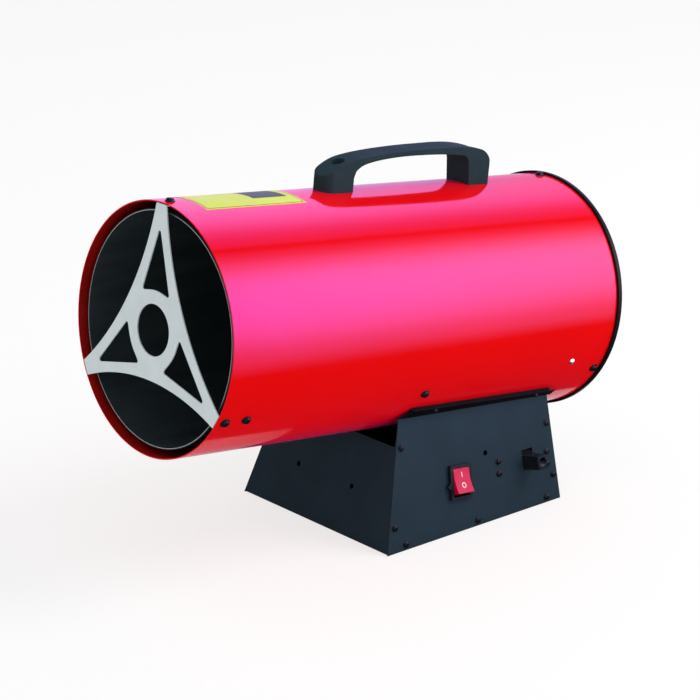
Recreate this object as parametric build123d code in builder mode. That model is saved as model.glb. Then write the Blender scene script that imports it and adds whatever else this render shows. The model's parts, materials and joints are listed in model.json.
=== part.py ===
from build123d import *
from math import cos, radians, sin, tan
import os

# Gas-fired forced air heater: a nose-up tube with a fan and burner inside, on a folded base.
# Millimetres. +X is the switch side, +Y the rear, +Z up; the origin is the middle of the
# base's footprint on the floor.

os.makedirs("parts", exist_ok=True)

# ---- Driving dimensions -----------------------------------------------------------------

# Clearances
seat_gap = 0.1          # between faces that are screwed or pressed together
screw_clearance = 0.15  # round a screw in its hole
running_clearance = 0.05
slide_clearance = 0.3
press_clearance = 0.02

# Outer tube
shell_radius = 108.0
shell_wall = 1.0
shell_length = 444.0
tube_tilt = 6.5         # outlet end up
outlet_height = shell_radius + 110.0  # middle of the outlet rim above the floor
outlet_ahead = shell_length - 167.0   # and ahead of the middle of the base

# Where things stand inside it, behind the outlet rim
fan_set_back = 118.0    # of the fan's front from the shell's rear
fan_front = shell_length - fan_set_back
baffle_at = fan_front - 36.0
stack_front = fan_front + 35.0

# Combustion tube inside it
flame_radius = shell_radius - 8.4
flame_wall = 0.8
flame_setback = 5.0     # behind the outlet rim
flame_past_baffle = 6.0
flame_bead = 0.7        # rolled bead round its front edge
flame_bead_width = 1.6

# Outlet guard: a pressed star with a ring in the middle and three bent-back tabs
arm_angles = (90, 211, 329)
guard_sheet = 1.2
guard_waist = shell_radius * 0.40  # radius of the outline half-way between two arms
arm_width = 13.4        # at the tips
hub_hole = 22.0
hub_ring = 31.3
window_tip = shell_radius - 19.5  # radius of each window's outer point
window_heel = 36.5      # radius of its two inner corners
window_spread = 31.5    # their angle from the arm
window_round = 2.0
tab_length = 40.0
tab_gap = 0.6           # from the tab to the inside of the shell

# Spacer clips between the two tubes
clip_angles = (211, 329)
clip_sheet = 1.0
clip_width = 12.0
clip_foot = 15.0

# Screws: head diameter, shank diameter
tube_screw = (8.6, 4.0)
panel_screw = (6.4, 3.2)
small_screw = (5.0, 2.6)
guard_screw_at = 8.4    # behind the outlet rim
front_clip_at = 30.4
rear_clip_at = 227.8

# Handle
handle_length = 193.5
handle_rear = shell_length - 87.0
handle_front = handle_rear - handle_length
handle_widths = (25.0, 30.0)     # front and rear
handle_nose = 9.0       # rounding of its front corners, seen from above
handle_heel = 3.0       # and of its rear ones
handle_legs = (32.0, 24.6)       # front and rear, where they stand on the tube
# how far along the handle, and how high above the tube
handle_top = ((0, 13.8), (9.5, 19.6), (18.2, 23.6), (37.2, 28.3), (63.2, 31.3), (90, 33.0))
handle_top += ((134, 34.2), (163.5, 33.6), (178.5, 31.6))
handle_palm = ((34, 17.4), (38.5, 21.0), (49.5, 24.6), (66, 27.0), (90, 28.6), (116, 28.8))
handle_palm += ((138, 28.2), (154, 27.0))
handle_brow = 12.0      # height inside the front leg where the rounding under the grip starts
handle_heel_lean = 1.2  # how far its back leans in
handle_knee = (2.6, 2.0)         # inside the rear leg: ahead of its foot, and below the heel
handle_hollow = (5.6, 24.6)      # ahead of the rear leg's foot, and above the tube
handle_screws_at = (handle_front + 22.4, handle_rear - 14.0)
handle_bore = 13.0      # deep hole for each screw
handle_sole = 6.0       # plastic left under the screw's head
handle_screw = (9.6, 5.0)
nut_flats = 8.0
nut_height = 4.0

# Base of folded sheet
sheet = 1.2
base_length = 211.5
base_width = 2 * shell_radius - 14.4
side_lean = 12.6        # side panels, inwards
front_lean = 16.8       # front panel, rearwards
panel_lift = 0.5        # bottom edge of the side panels above the floor
front_top = 88.4        # height of the front panel
rear_top = 82.0         # height of the rear panel beside the tube
tube_gap = 1.5          # between the tube and the panels that end under it
fold_radius = 2.0
lap_width = 12.0        # tray flanges behind the side panels
lap_relief = 2.0        # between two of them
lap_top_gap = 18.0      # from the bend of the saddle flange down to the tray flanges
lap_inset = 5.4         # screws from the panel's edge
lap_foot_screw = 22.6   # height of the lowest screws at the front
lap_rear_foot_screw = 24.2
lap_top_screw = 25.0    # the highest ones, below the bend
lap_bottom_screws = (22.0, 17.2)  # from the panel's front and rear corners
saddle_angle = 47.0     # below horizontal, where the saddle flanges meet the tube
saddle_width = 12.6
saddle_pad = 2.5        # rubber strip between the flange and the tube
saddle_pad_inset = 1.6  # of the strip from the flange's edges
saddle_mitre = 9.0
saddle_overrun = 5.0    # past the rear panel
saddle_screws_back = (192.0, 67.0)  # from the shell's rear
saddle_screws_at = [shell_length - back for back in saddle_screws_back]
saddle_screw_inset = 4.0
front_hole_spread = 73.6
front_hole_height = 45.3
plain_hole = 5.0

# Things on the control panel: rearward from its front corner, and up the panel
switch_at = (92.5, 44.6)
switch_turn = -6.0      # as the tube leans, not as the floor lies
inlet_at = (base_length - 33.5, 43.0)
spare_hole_at = (128.0, 62.5)
valve_at = (base_length - 40.3, 43.4)
valve_turn = -4.6
valve_screw_grid = (60.2, 11.0)

# Rocker switch
bezel_size = (25.0, 31.0)
bezel_height = 3.4
bezel_round = 1.5
switch_body = (21.6, 27.6)
switch_depth = 23.0
rocker_size = (18.4, 22.4)
rocker_gap = 0.4        # beside the rocker
rocker_swing_gap = 1.6  # past its two ends
rocker_tip = 6.4        # ends of the rocker above its pivot
rocker_dip = 5.2        # its middle above its pivot
rocker_root = 3.5       # its underside below its pivot
rocker_tilt = 15.0      # each side of level
rocker_well = 7.0
pivot_pin = 1.4
pivot_pin_length = 0.8
bezel_clip = (4.0, 6.0)
terminal_size = (6.3, 0.8, 9.0)

# Gas inlet and valve
inlet_size = (11.4, 12.6)
inlet_length = 19.2
inlet_bore = 4.28       # radius, G1/8 thread at its minor diameter
inlet_bore_depth = 15.0
inlet_cutout_gap = 1.0
inlet_cutout_top = 4.0
valve_plate = (68.0, 19.0, 2.0)
valve_body = (46.0, 28.0, 30.0)
valve_round = 3.0
valve_stem = 4.0
valve_cap = 7.0
valve_cap_length = 7.0
valve_travel = 4.0
valve_stem_depth = 6.0  # engaged in the valve's bore at rest
valve_button_drop = 21.5  # from the inside of the panel to the stem

# Igniter push-button
igniter_x = -14.0
igniter_z = 37.0
igniter_radius = 8.0
igniter_length = 46.0
igniter_collar = 11.0
igniter_collar_height = 3.0
igniter_button_radius = 6.4
igniter_button_stand = 9.0
igniter_button_depth = 12.0
igniter_travel = 5.0

# Cable gland and terminal block
gland_inset = 38.8      # from the base's side
gland_x = gland_inset - base_width / 2
gland_z = 27.0
gland_bore = 3.7
gland_thread = 7.0
gland_head = 10.0
gland_nose = 7.0
gland_stand = 15.0
gland_inside = 9.0
gland_nut = 18.0
gland_nut_height = 4.0
block_size = (44.0, 20.0, 12.0)
block_at = (-28.0, 30.0)
block_ways = 4

# Rear grille
grille_flange = shell_radius + 2.2
grille_flange_width = 5.0
grille_skirt = 16.0
grille_wall = 1.5
grille_opening = shell_radius - 7.0
grille_lip = 1.8
grille_angles = (90, 210, 330)
grille_screw_at = shell_length - 7.0
grille_round = 1.2
wire = 2.4
ring_wires = 5
inner_ring = 22.0
outer_ring = shell_radius - 22.0
spoke_wires = 6

# Fan
fan_hub_length = 18.0
fan_hub = 14.0
fan_hub_bevel = 1.6
fan_radius = shell_radius - 13.0
fan_blades = 5
blade_sheet = 1.2
# share of the fan's radius, chord and pitch at each section of a blade
blade_stations = ((0.12, 22.0, 44.0), (0.55, 50.0, 30.0), (1.02, 66.0, 21.0))
blade_camber = 0.09     # of the chord
fan_middle = fan_front + fan_hub_length / 2

# Motor
shaft_radius = 2.5
shaft_front = fan_front - 5.0
shaft_rear = fan_front + 70.0
stack_length = 20.0
stack_height = 48.0
stack_right = 26.0
stack_left = -46.0
rotor_radius = 13.0
rotor_gap = 0.4
rotor_overhang = 2.0
window_size = (12.5, 28.0)
window_left = -36.0
coil_gap = 0.2
coil_build = 9.8
coil_height = 27.0
coil_overhang = 8.0
coil_round = 3.0
bar_screw_spread = 38.0
bar_size = (50.0, 14.0)
bar_sheet = 3.0
bar_post = 9.0          # stack face to the outside of the bearing bar
bar_post_radius = 5.0
bearing_radius = 7.0
bearing_length = 6.0
motor_screw = (7.0, 3.8)

# Motor bracket
bracket_sheet = 1.2
bracket_front = fan_front + 64.0
bracket_width = 24.0
rivet_at = bracket_front + bracket_width / 2
rivet_angle = -23.6
bracket_tab = 18.0
bracket_tab_gap = 0.7
upright_width = 52.0
upright_top = 12.0
rivet = (5.8, 3.2)

# Burner
baffle_sheet = 1.0
baffle_rim = 8.0
baffle_gap = 0.3
baffle_hole = 5.5
baffle_holes = 12
baffle_hole_circle = flame_radius - 25.6
burner_radius = 28.0
burner_wall = 1.5
burner_length = 34.0
burner_flange = 34.0
port_radius = 3.0
port_count = 8
port_circle = 18.0
nozzle_flats = 14.0
nozzle_collar = 12.0
nozzle_collar_width = 3.0
nozzle_front = baffle_at - 6.0
nozzle_rear = baffle_at + 10.0
nozzle_tip = 3.0
rod_circle = 42.0
electrode_angle = 60.0
probe_angle = 120.0
electrode_radius = 3.5
probe_radius = 2.5
rod_collar = 6.0
rod_collar_width = 2.0
electrode_front = baffle_at - 18.0
pin_radius = 1.0
pin_length = 16.0
probe_front = baffle_at - 34.0
rod_rear = baffle_at + 8.0

# Pipe and leads
pipe_radius = 4.0
pipe_riser_at = fan_front - 14.0
ignition_lead_radius = 2.5
probe_lead_radius = 1.5
motor_lead_radius = 3.0
lead_riser_at = fan_front - 17.0
lead_hole_gap = 0.8
motor_lead_x = -51.0
motor_lead_at = stack_front + 10.0
pipe_bend = 9.0
lead_bend = 7.0
pipe_foot = 31.6        # foot of each riser above the floor
ignition_foot = 43.9
probe_foot = 53.8
motor_lead_foot = 27.0
pipe_stub = 22.0
lead_stub = 18.0
probe_turn = (-9.0, 35.0, 52.0)   # the probe's lead passes behind the gas pipe

# ---- Frames -----------------------------------------------------------------------------

outlet = Plane(
    origin=(0, -outlet_ahead, outlet_height),
    x_dir=(1, 0, 0),
    z_dir=(0, -cos(radians(tube_tilt)), sin(radians(tube_tilt))),
)
middle = Plane(outlet.origin, x_dir=-outlet.z_dir, z_dir=outlet.x_dir)  # X rearward, Y up


def across(behind):
    """Plane square across the tube, this far behind the outlet rim, facing forwards."""
    return outlet.offset(-behind)


def outward(angle):
    """Unit vector away from the tube's axis; 0 is the switch side, 90 the top."""
    return outlet.x_dir * cos(radians(angle)) + outlet.y_dir * sin(radians(angle))


def facing(angle, radius=0.0):
    """Plane tangent to the tube at this radius: X runs rearward from the outlet rim."""
    return Plane(
        outlet.origin + outward(angle) * radius, x_dir=-outlet.z_dir, z_dir=outward(angle)
    )


def lengthwise(angle):
    """Plane through the tube's axis: X rearward from the outlet rim, Y outwards."""
    return Plane(
        outlet.origin, x_dir=-outlet.z_dir, z_dir=(-outlet.z_dir).cross(outward(angle))
    )


def seat(plane, x, y=0.0, turn=0.0):
    """The same plane, with its origin moved to this spot on it and its X turned."""
    along = plane.x_dir * cos(radians(turn)) + plane.y_dir * sin(radians(turn))
    return Plane(plane.from_local_coords(Vector(x, y, 0)), along, plane.z_dir)


def polar(radius, angle):
    return radius * cos(radians(angle)), radius * sin(radians(angle))


# Outer face of the control panel: X rearward from its front bottom corner, Y up the panel.
lean = radians(side_lean)
side_face = Plane(
    origin=(base_width / 2, -base_length / 2, 0),
    x_dir=(0, 1, 0),
    z_dir=(cos(lean), 0, sin(lean)),
)
side_inner = side_face.offset(-sheet)
lap_face = side_inner.offset(-seat_gap)

# Outer face of the front panel: X across, Y up the panel.
front_face = Plane(
    origin=(0, -base_length / 2, 0),
    x_dir=(1, 0, 0),
    z_dir=(0, -cos(radians(front_lean)), sin(radians(front_lean))),
)

# Outer (lower) face of the saddle flange, under the tube and the rubber strip.
saddle_face = facing(-saddle_angle, shell_radius + seat_gap + saddle_pad + seat_gap + sheet)


def bend_height(u):
    """How far up the side panel the bend of the saddle flange lies, at u along the panel."""
    foot = side_face.from_local_coords(Vector(u, 0, 0)) - saddle_face.origin
    return -foot.dot(saddle_face.z_dir) / side_face.y_dir.dot(saddle_face.z_dir)


front_slope = cos(lean) * tan(radians(front_lean))  # of the side panel's front edge
bend_slope = (bend_height(base_length) - bend_height(0)) / base_length
bend_front = front_slope * bend_height(0) / (1 - front_slope * bend_slope)
bend_angle = side_face.z_dir.get_angle(saddle_face.z_dir)
bend_lap = sheet * tan(radians(bend_angle / 2))  # past the bend, to close the corner


def on_flange(u):
    """The bend at u along the side panel, in the saddle flange's own plane."""
    return saddle_face.to_local_coords(side_face.from_local_coords(Vector(u, bend_height(u), 0)))


flange_front = on_flange(bend_front)
flange_rear = on_flange(base_length)
saddle_edge = flange_front.Y + saddle_width
saddle_screw_line = saddle_edge - saddle_screw_inset


def mirrored(planes):
    """The planes, and their images on the other side of the base."""
    images = []
    for plane in planes:
        here, out = plane.origin, plane.z_dir
        images.append(Plane((-here.X, here.Y, here.Z), plane.x_dir, (-out.X, out.Y, out.Z)))
    return list(planes) + images


# ---- Fasteners --------------------------------------------------------------------------


def pan_screw(sizes, length):
    """Pan-head screw, its head above the XY plane and its shank below."""
    head, shank = sizes
    with BuildPart() as screw:
        with BuildSketch():
            Circle(head / 2)
        extrude(amount=head * 0.34)
        chamfer(screw.edges().sort_by(Axis.Z)[-1], head * 0.17)
        with BuildSketch():
            Circle(shank / 2)
        extrude(amount=-length)
    return screw.part


def screw_hole(sizes):
    return sizes[1] / 2 + screw_clearance


guard_screw_seats = [seat(facing(a, shell_radius + seat_gap), guard_screw_at) for a in arm_angles]
clip_screw_seats = [
    seat(facing(a, shell_radius + seat_gap), at)
    for a in clip_angles
    for at in (front_clip_at, rear_clip_at)
]
grille_screw_seats = [
    seat(facing(a, shell_radius + seat_gap), grille_screw_at) for a in grille_angles
]
saddle_screw_seats = mirrored(
    [seat(saddle_face.offset(seat_gap), at, saddle_screw_line) for at in saddle_screws_at]
)
rivet_seats = [
    seat(facing(a, shell_radius + seat_gap), rivet_at) for a in (rivet_angle, 180 - rivet_angle)
]
lap_front_top = bend_height(bend_front) - lap_top_gap
lap_rear_top = bend_height(base_length) - lap_top_gap
lap_spots = [
    (front_slope * v + lap_inset, v)
    for v in (lap_foot_screw, bend_height(bend_front) - lap_top_screw)
]
lap_spots += [
    (base_length - lap_inset, v)
    for v in (lap_rear_foot_screw, bend_height(base_length) - lap_top_screw)
]
bottom_front, bottom_rear = lap_bottom_screws[0], base_length - lap_bottom_screws[1]
lap_spots += [
    (u, lap_inset) for u in (bottom_front, (bottom_front + bottom_rear) / 2, bottom_rear)
]
lap_screw_seats = mirrored([seat(side_face.offset(seat_gap), u, v) for u, v in lap_spots])
valve_seat = seat(side_inner.offset(-seat_gap), *valve_at, valve_turn)
valve_screw_seats = [
    seat(seat(side_face.offset(seat_gap), *valve_at, valve_turn), x, y)
    for x in (-valve_screw_grid[0] / 2, valve_screw_grid[0] / 2)
    for y in (-valve_screw_grid[1] / 2, valve_screw_grid[1] / 2)
]
inlet_seat = seat(side_inner, *inlet_at)


def rear_seat(x, z):
    """Plane on the rear panel, facing rearwards."""
    return Plane((x, base_length / 2, z), x_dir=(-1, 0, 0), z_dir=(0, 1, 0))


valve_core = side_inner.from_local_coords(Vector(valve_at[0], valve_at[1], -valve_button_drop))
valve_button_seat = rear_seat(valve_core.X, valve_core.Z)
igniter_seat = rear_seat(igniter_x, igniter_z)
gland_seat = rear_seat(gland_x, gland_z)

electrode_spot = polar(rod_circle, electrode_angle)
probe_spot = polar(rod_circle, probe_angle)

# ---- Outer tube and what is fixed to it -------------------------------------------------

with BuildPart() as outer_shell:
    with BuildSketch(outlet):
        Circle(shell_radius)
        Circle(shell_radius - shell_wall, mode=Mode.SUBTRACT)
    extrude(amount=-shell_length)
    with Locations(*guard_screw_seats, *clip_screw_seats, *grille_screw_seats):
        Cylinder(screw_hole(tube_screw), 4 * shell_wall, mode=Mode.SUBTRACT)
    with Locations(*rivet_seats):
        Cylinder(screw_hole(rivet), 4 * shell_wall, mode=Mode.SUBTRACT)
    with Locations(*saddle_screw_seats):
        Cylinder(screw_hole(small_screw), 12 * shell_wall, mode=Mode.SUBTRACT)
    with Locations(*[seat(facing(90, shell_radius), at) for at in handle_screws_at]):
        Cylinder(screw_hole(handle_screw), 4 * shell_wall, mode=Mode.SUBTRACT)
    with Locations(seat(facing(-90, shell_radius), pipe_riser_at)):
        Cylinder(pipe_radius + lead_hole_gap, 4 * shell_wall, mode=Mode.SUBTRACT)
    with Locations(seat(facing(-90, shell_radius), lead_riser_at, electrode_spot[0])):
        Cylinder(ignition_lead_radius + lead_hole_gap, 20 * shell_wall, mode=Mode.SUBTRACT)
    with Locations(seat(facing(-90, shell_radius), lead_riser_at, probe_spot[0])):
        Cylinder(probe_lead_radius + lead_hole_gap, 20 * shell_wall, mode=Mode.SUBTRACT)
    with Locations(seat(facing(-90, shell_radius), motor_lead_at, motor_lead_x)):
        Cylinder(motor_lead_radius + lead_hole_gap, 40 * shell_wall, mode=Mode.SUBTRACT)
outer_shell.part.label = "outer_shell"
export_step(outer_shell.part, "parts/outer_shell.step")

with BuildPart() as combustion_tube:
    with BuildSketch(across(flame_setback)):
        Circle(flame_radius)
        Circle(flame_radius - flame_wall, mode=Mode.SUBTRACT)
    extrude(amount=flame_setback - baffle_at - flame_past_baffle)
    with BuildSketch(across(flame_setback)):
        Circle(flame_radius + flame_bead)
        Circle(flame_radius - flame_wall, mode=Mode.SUBTRACT)
    extrude(amount=-flame_bead_width)
combustion_tube.part.label = "combustion_tube"
export_step(combustion_tube.part, "parts/combustion_tube.step")

tab_radius = shell_radius - shell_wall - tab_gap  # outer face of the guard's tabs
tip_front = 0.0

with BuildSketch() as guard_window:
    with BuildLine():
        tip = (window_tip, 0)
        heel_low = polar(window_heel, -window_spread)
        heel_high = polar(window_heel, window_spread)
        Polyline(heel_low, tip, heel_high)
        ThreePointArc(heel_high, (hub_ring, 0), heel_low)
    make_face()
    fillet(guard_window.vertices(), window_round)

with BuildPart() as outlet_guard:
    with BuildSketch(across(tip_front)):
        with BuildLine():
            for angle, following in zip(arm_angles, (*arm_angles[1:], arm_angles[0] + 360)):
                spread = Vector(*polar(arm_width / 2, angle + 90))
                end = Vector(*polar(tab_radius, angle))
                next_end = Vector(*polar(tab_radius, following))
                next_spread = Vector(*polar(arm_width / 2, following + 90))
                waist = Vector(*polar(guard_waist, (angle + following) / 2))
                Line(end - spread, end + spread)
                ThreePointArc(end + spread, waist, next_end - next_spread)
        make_face()
        Circle(hub_hole, mode=Mode.SUBTRACT)
        with Locations(*[Rotation(0, 0, angle) for angle in arm_angles]):
            add(guard_window.sketch, mode=Mode.SUBTRACT)
    extrude(amount=-guard_sheet)
    for angle in arm_angles:
        with BuildSketch(seat(facing(angle, tab_radius), tip_front)):
            Rectangle(tab_length, arm_width, align=(Align.MIN, Align.CENTER))
        extrude(amount=-guard_sheet)
    with Locations(*guard_screw_seats, *clip_screw_seats):
        Cylinder(screw_hole(tube_screw), 8 * shell_wall, mode=Mode.SUBTRACT)
outlet_guard.part.label = "outlet_guard"
export_step(outlet_guard.part, "parts/outlet_guard.step")

front_clip_top = tab_radius - guard_sheet - seat_gap
rear_clip_top = shell_radius - shell_wall - seat_gap * 3
clip_bottom = flame_radius + seat_gap

with BuildPart() as tube_spacers:
    for angle in clip_angles:
        for at, top in ((front_clip_at, front_clip_top), (rear_clip_at, rear_clip_top)):
            start = at - clip_foot / 2
            turn = at + clip_foot / 2
            with BuildSketch(lengthwise(angle)):
                with Locations((start, top)):
                    Rectangle(clip_foot, clip_sheet, align=(Align.MIN, Align.MAX))
                with Locations((turn, clip_bottom)):
                    Rectangle(clip_sheet, top - clip_bottom, align=(Align.MAX, Align.MIN))
                with Locations((turn - clip_sheet, clip_bottom)):
                    Rectangle(clip_foot, clip_sheet, align=(Align.MIN, Align.MIN))
            extrude(amount=clip_width / 2, both=True)
    with Locations(*clip_screw_seats):
        Cylinder(screw_hole(tube_screw), 10 * shell_wall, mode=Mode.SUBTRACT)
tube_spacers.part.label = "tube_spacers"
export_step(tube_spacers.part, "parts/tube_spacers.step")

with BuildPart() as guard_screws:
    with Locations(*guard_screw_seats):
        add(pan_screw(tube_screw, shell_wall + tab_gap + guard_sheet + 2))
guard_screws.part.label = "guard_screws"
export_step(guard_screws.part, "parts/guard_screws.step")

with BuildPart() as spacer_screws:
    with Locations(*clip_screw_seats):
        add(pan_screw(tube_screw, shell_wall + tab_gap + guard_sheet + clip_sheet + 1))
spacer_screws.part.label = "spacer_screws"
export_step(spacer_screws.part, "parts/spacer_screws.step")

# ---- Handle -----------------------------------------------------------------------------

handle_seat = shell_radius + seat_gap

with BuildPart() as handle:
    with BuildSketch(middle):
        with BuildLine():
            crest = [(handle_front + at, shell_radius + height) for at, height in handle_top]
            palm = [(handle_front + at, shell_radius + height) for at, height in handle_palm]
            foot = shell_radius - handle_sole
            toe = handle_front + handle_legs[0]
            heel = handle_rear - handle_legs[1]
            knee = shell_radius + handle_top[1][1]
            Line((handle_front, foot), crest[0])
            top = Spline(*crest)
            back = TangentArc(top @ 1, (handle_rear - handle_heel_lean, knee), tangent=top % 1)
            Line(back @ 1, (handle_rear, foot))
            Line((handle_rear, foot), (heel, foot))
            inner_knee = Line((heel, foot), (heel - handle_knee[0], knee - handle_knee[1]))
            hollow = (heel - handle_hollow[0], shell_radius + handle_hollow[1])
            palm_run = Vector(*palm[-2]) - Vector(*palm[-1])
            Spline(inner_knee @ 1, hollow, palm[-1], tangents=(inner_knee % 1, palm_run))
            under = Spline(*palm[::-1])
            inner_brow = Line(under @ 1, (toe, shell_radius + handle_brow))
            Line(inner_brow @ 1, (toe, foot))
            Line((toe, foot), (handle_front, foot))
        make_face()
    extrude(amount=handle_widths[1], both=True)
    with BuildSketch(facing(90, 0)) as handle_plan:
        front_half, rear_half = [width / 2 for width in handle_widths]
        Polygon(
            (handle_front, -front_half),
            (handle_rear, -rear_half),
            (handle_rear, rear_half),
            (handle_front, front_half),
            align=None,
        )
        fillet(handle_plan.vertices().group_by(Axis.X)[0], handle_nose)
        fillet(handle_plan.vertices().group_by(Axis.X)[-1], handle_heel)
    extrude(amount=2 * shell_radius, mode=Mode.INTERSECT)
    with BuildSketch(outlet):
        Circle(handle_seat)
    extrude(amount=-shell_length, mode=Mode.SUBTRACT)
    with Locations(*[seat(facing(90, handle_seat + handle_sole), at) for at in handle_screws_at]):
        Cylinder(
            handle_bore / 2,
            60,
            align=(Align.CENTER, Align.CENTER, Align.MIN),
            mode=Mode.SUBTRACT,
        )
        Cylinder(screw_hole(handle_screw), 30, mode=Mode.SUBTRACT)
handle.part.label = "handle"
export_step(handle.part, "parts/handle.step")

with BuildPart() as handle_screws:
    with Locations(*[seat(facing(90, handle_seat + handle_sole), at) for at in handle_screws_at]):
        add(pan_screw(handle_screw, handle_sole + shell_wall + nut_height + 2))
    for at in handle_screws_at:
        with BuildSketch(seat(facing(90, shell_radius - shell_wall - seat_gap), at)):
            RegularPolygon(nut_flats / 2, 6, major_radius=False)
        extrude(amount=-nut_height)
handle_screws.part.label = "handle_screws"
export_step(handle_screws.part, "parts/handle_screws.step")

# ---- Rear grille ------------------------------------------------------------------------

skirt_radius = shell_radius - shell_wall - seat_gap
grille_rear = shell_length + grille_flange_width

with BuildPart() as grille_ring:
    with BuildSketch(middle):
        with BuildLine():
            Polyline(
                (shell_length - grille_skirt, skirt_radius),
                (shell_length + seat_gap, skirt_radius),
                (shell_length + seat_gap, grille_flange),
                (grille_rear, grille_flange),
                (grille_rear, grille_opening),
                (grille_rear - grille_lip, grille_opening),
                (grille_rear - grille_lip, skirt_radius - grille_wall),
                (shell_length - grille_skirt, skirt_radius - grille_wall),
                close=True,
            )
        make_face()
    revolve(axis=Axis(outlet.origin, outlet.z_dir))
    fillet(grille_ring.edges().filter_by(GeomType.CIRCLE).group_by(SortBy.RADIUS)[-1], grille_round)
    with Locations(*grille_screw_seats):
        Cylinder(screw_hole(tube_screw), 10 * shell_wall, mode=Mode.SUBTRACT)
grille_ring.part.label = "grille_ring"
export_step(grille_ring.part, "parts/grille_ring.step")

wire_at = grille_rear - grille_lip - wire / 2 - seat_gap

with BuildPart() as grille_wires:
    for number in range(ring_wires):
        ring = inner_ring + number * (outer_ring - inner_ring) / (ring_wires - 1)
        with BuildSketch(middle):
            with Locations((wire_at, ring)):
                RegularPolygon(wire / 2, 4)
        revolve(axis=Axis(outlet.origin, outlet.z_dir))
    with BuildSketch(*[facing(30 + number * 360 / spoke_wires) for number in range(spoke_wires)]):
        with Locations((wire_at - wire * 0.6, 0)):
            Circle(wire / 2)
    extrude(amount=skirt_radius - grille_wall - seat_gap)
grille_wires.part.label = "grille_wires"
export_step(grille_wires.part, "parts/grille_wires.step")

with BuildPart() as grille_screws:
    with Locations(*grille_screw_seats):
        add(pan_screw(tube_screw, shell_wall + grille_wall + 3))
grille_screws.part.label = "grille_screws"
export_step(grille_screws.part, "parts/grille_screws.step")

# ---- Motor and fan ----------------------------------------------------------------------

outlet_axis = Axis(outlet.origin, outlet.z_dir)
stack_rear = stack_front + stack_length
bar_front = stack_front - bar_post
bar_rear = stack_rear + bar_post
shaft_hole = shaft_radius + running_clearance
bar_screw_x = bar_screw_spread / 2

with BuildPart() as motor_bracket:
    tab_face_radius = shell_radius - shell_wall - bracket_tab_gap
    for angle in (rivet_angle, 180 - rivet_angle):
        with BuildSketch(seat(facing(angle, tab_face_radius), bracket_front)):
            Rectangle(bracket_width, bracket_tab, align=(Align.MIN, Align.CENTER))
        extrude(amount=-bracket_sheet)
    tab_foot = outward(rivet_angle) * (tab_face_radius - bracket_sheet) + (
        outward(rivet_angle - 90) * (bracket_tab / 2)
    )
    strap_half = tab_foot.dot(outlet.x_dir)
    strap_level = tab_foot.dot(outlet.y_dir)
    with BuildSketch(middle):
        with Locations((bracket_front, strap_level)):
            Rectangle(bracket_width, bracket_sheet, align=(Align.MIN, Align.MIN))
    extrude(amount=strap_half + bracket_sheet / 2, both=True)
    with BuildSketch(across(bracket_front)):
        with Locations((0, strap_level)):
            Rectangle(
                upright_width, upright_top - strap_level, align=(Align.CENTER, Align.MIN)
            )
        Circle(bearing_radius + slide_clearance, mode=Mode.SUBTRACT)
        with Locations((-bar_screw_x, 0), (bar_screw_x, 0)):
            Circle(screw_hole(motor_screw), mode=Mode.SUBTRACT)
    extrude(amount=-bracket_sheet)
    with Locations(*rivet_seats):
        Cylinder(screw_hole(rivet), 10 * shell_wall, mode=Mode.SUBTRACT)
motor_bracket.part.label = "motor_bracket"
export_step(motor_bracket.part, "parts/motor_bracket.step")

with BuildPart() as bracket_rivets:
    with Locations(*rivet_seats):
        add(pan_screw(rivet, shell_wall + bracket_tab_gap + bracket_sheet + 1.5))
bracket_rivets.part.label = "bracket_rivets"
export_step(bracket_rivets.part, "parts/bracket_rivets.step")

with BuildPart() as motor_stator:
    with BuildSketch(across(stack_front)):
        with Locations(((stack_left + stack_right) / 2, 0)):
            Rectangle(stack_right - stack_left, stack_height)
        Circle(rotor_radius + rotor_gap, mode=Mode.SUBTRACT)
        with Locations((window_left, 0)):
            Rectangle(*window_size, align=(Align.MIN, Align.CENTER), mode=Mode.SUBTRACT)
        with Locations((-bar_screw_x, 0), (bar_screw_x, 0)):
            Circle(screw_hole(motor_screw), mode=Mode.SUBTRACT)
    extrude(amount=-stack_length)
motor_stator.part.label = "motor_stator"
export_step(motor_stator.part, "parts/motor_stator.step")

leg_left = stack_left - coil_gap
leg_right = window_left + coil_gap

with BuildPart() as motor_coil:
    with BuildSketch(Plane(outlet.origin, outlet.x_dir, outlet.y_dir)) as coil_section:
        with Locations(((leg_left + leg_right) / 2, stack_front + stack_length / 2)):
            Rectangle(leg_right - leg_left + 2 * coil_build, stack_length + 2 * coil_overhang)
        fillet(coil_section.vertices(), coil_round)
        with Locations(((leg_left + leg_right) / 2, stack_front + stack_length / 2)):
            Rectangle(
                leg_right - leg_left, stack_length + 2 * coil_gap, mode=Mode.SUBTRACT
            )
    extrude(amount=coil_height / 2, both=True)
motor_coil.part.label = "motor_coil"
export_step(motor_coil.part, "parts/motor_coil.step")


def bearing_bar(face, out):
    """Bar with two posts standing on the stack, and a bearing boss; `out` is 1 forwards."""
    bar = face.offset(out * (bar_post - bar_sheet))
    with BuildPart() as bracket:
        with BuildSketch(bar):
            SlotOverall(*bar_size)
        extrude(amount=out * bar_sheet)
        with BuildSketch(bar):
            Circle(bearing_radius)
        extrude(amount=out * bearing_length)
        with BuildSketch(face):
            with Locations((-bar_screw_x, 0), (bar_screw_x, 0)):
                Circle(bar_post_radius)
        extrude(amount=out * bar_post)
        with Locations(bar):
            Cylinder(shaft_hole, 4 * bearing_length, mode=Mode.SUBTRACT)
        with Locations(bar):
            with Locations((-bar_screw_x, 0), (bar_screw_x, 0)):
                Cylinder(screw_hole(motor_screw), 4 * bar_post, mode=Mode.SUBTRACT)
    return bracket.part


with BuildPart() as front_bearing:
    add(bearing_bar(across(stack_front), 1))
front_bearing.part.label = "front_bearing"
export_step(front_bearing.part, "parts/front_bearing.step")

with BuildPart() as rear_bearing:
    add(bearing_bar(across(stack_rear), -1))
rear_bearing.part.label = "rear_bearing"
export_step(rear_bearing.part, "parts/rear_bearing.step")

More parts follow.
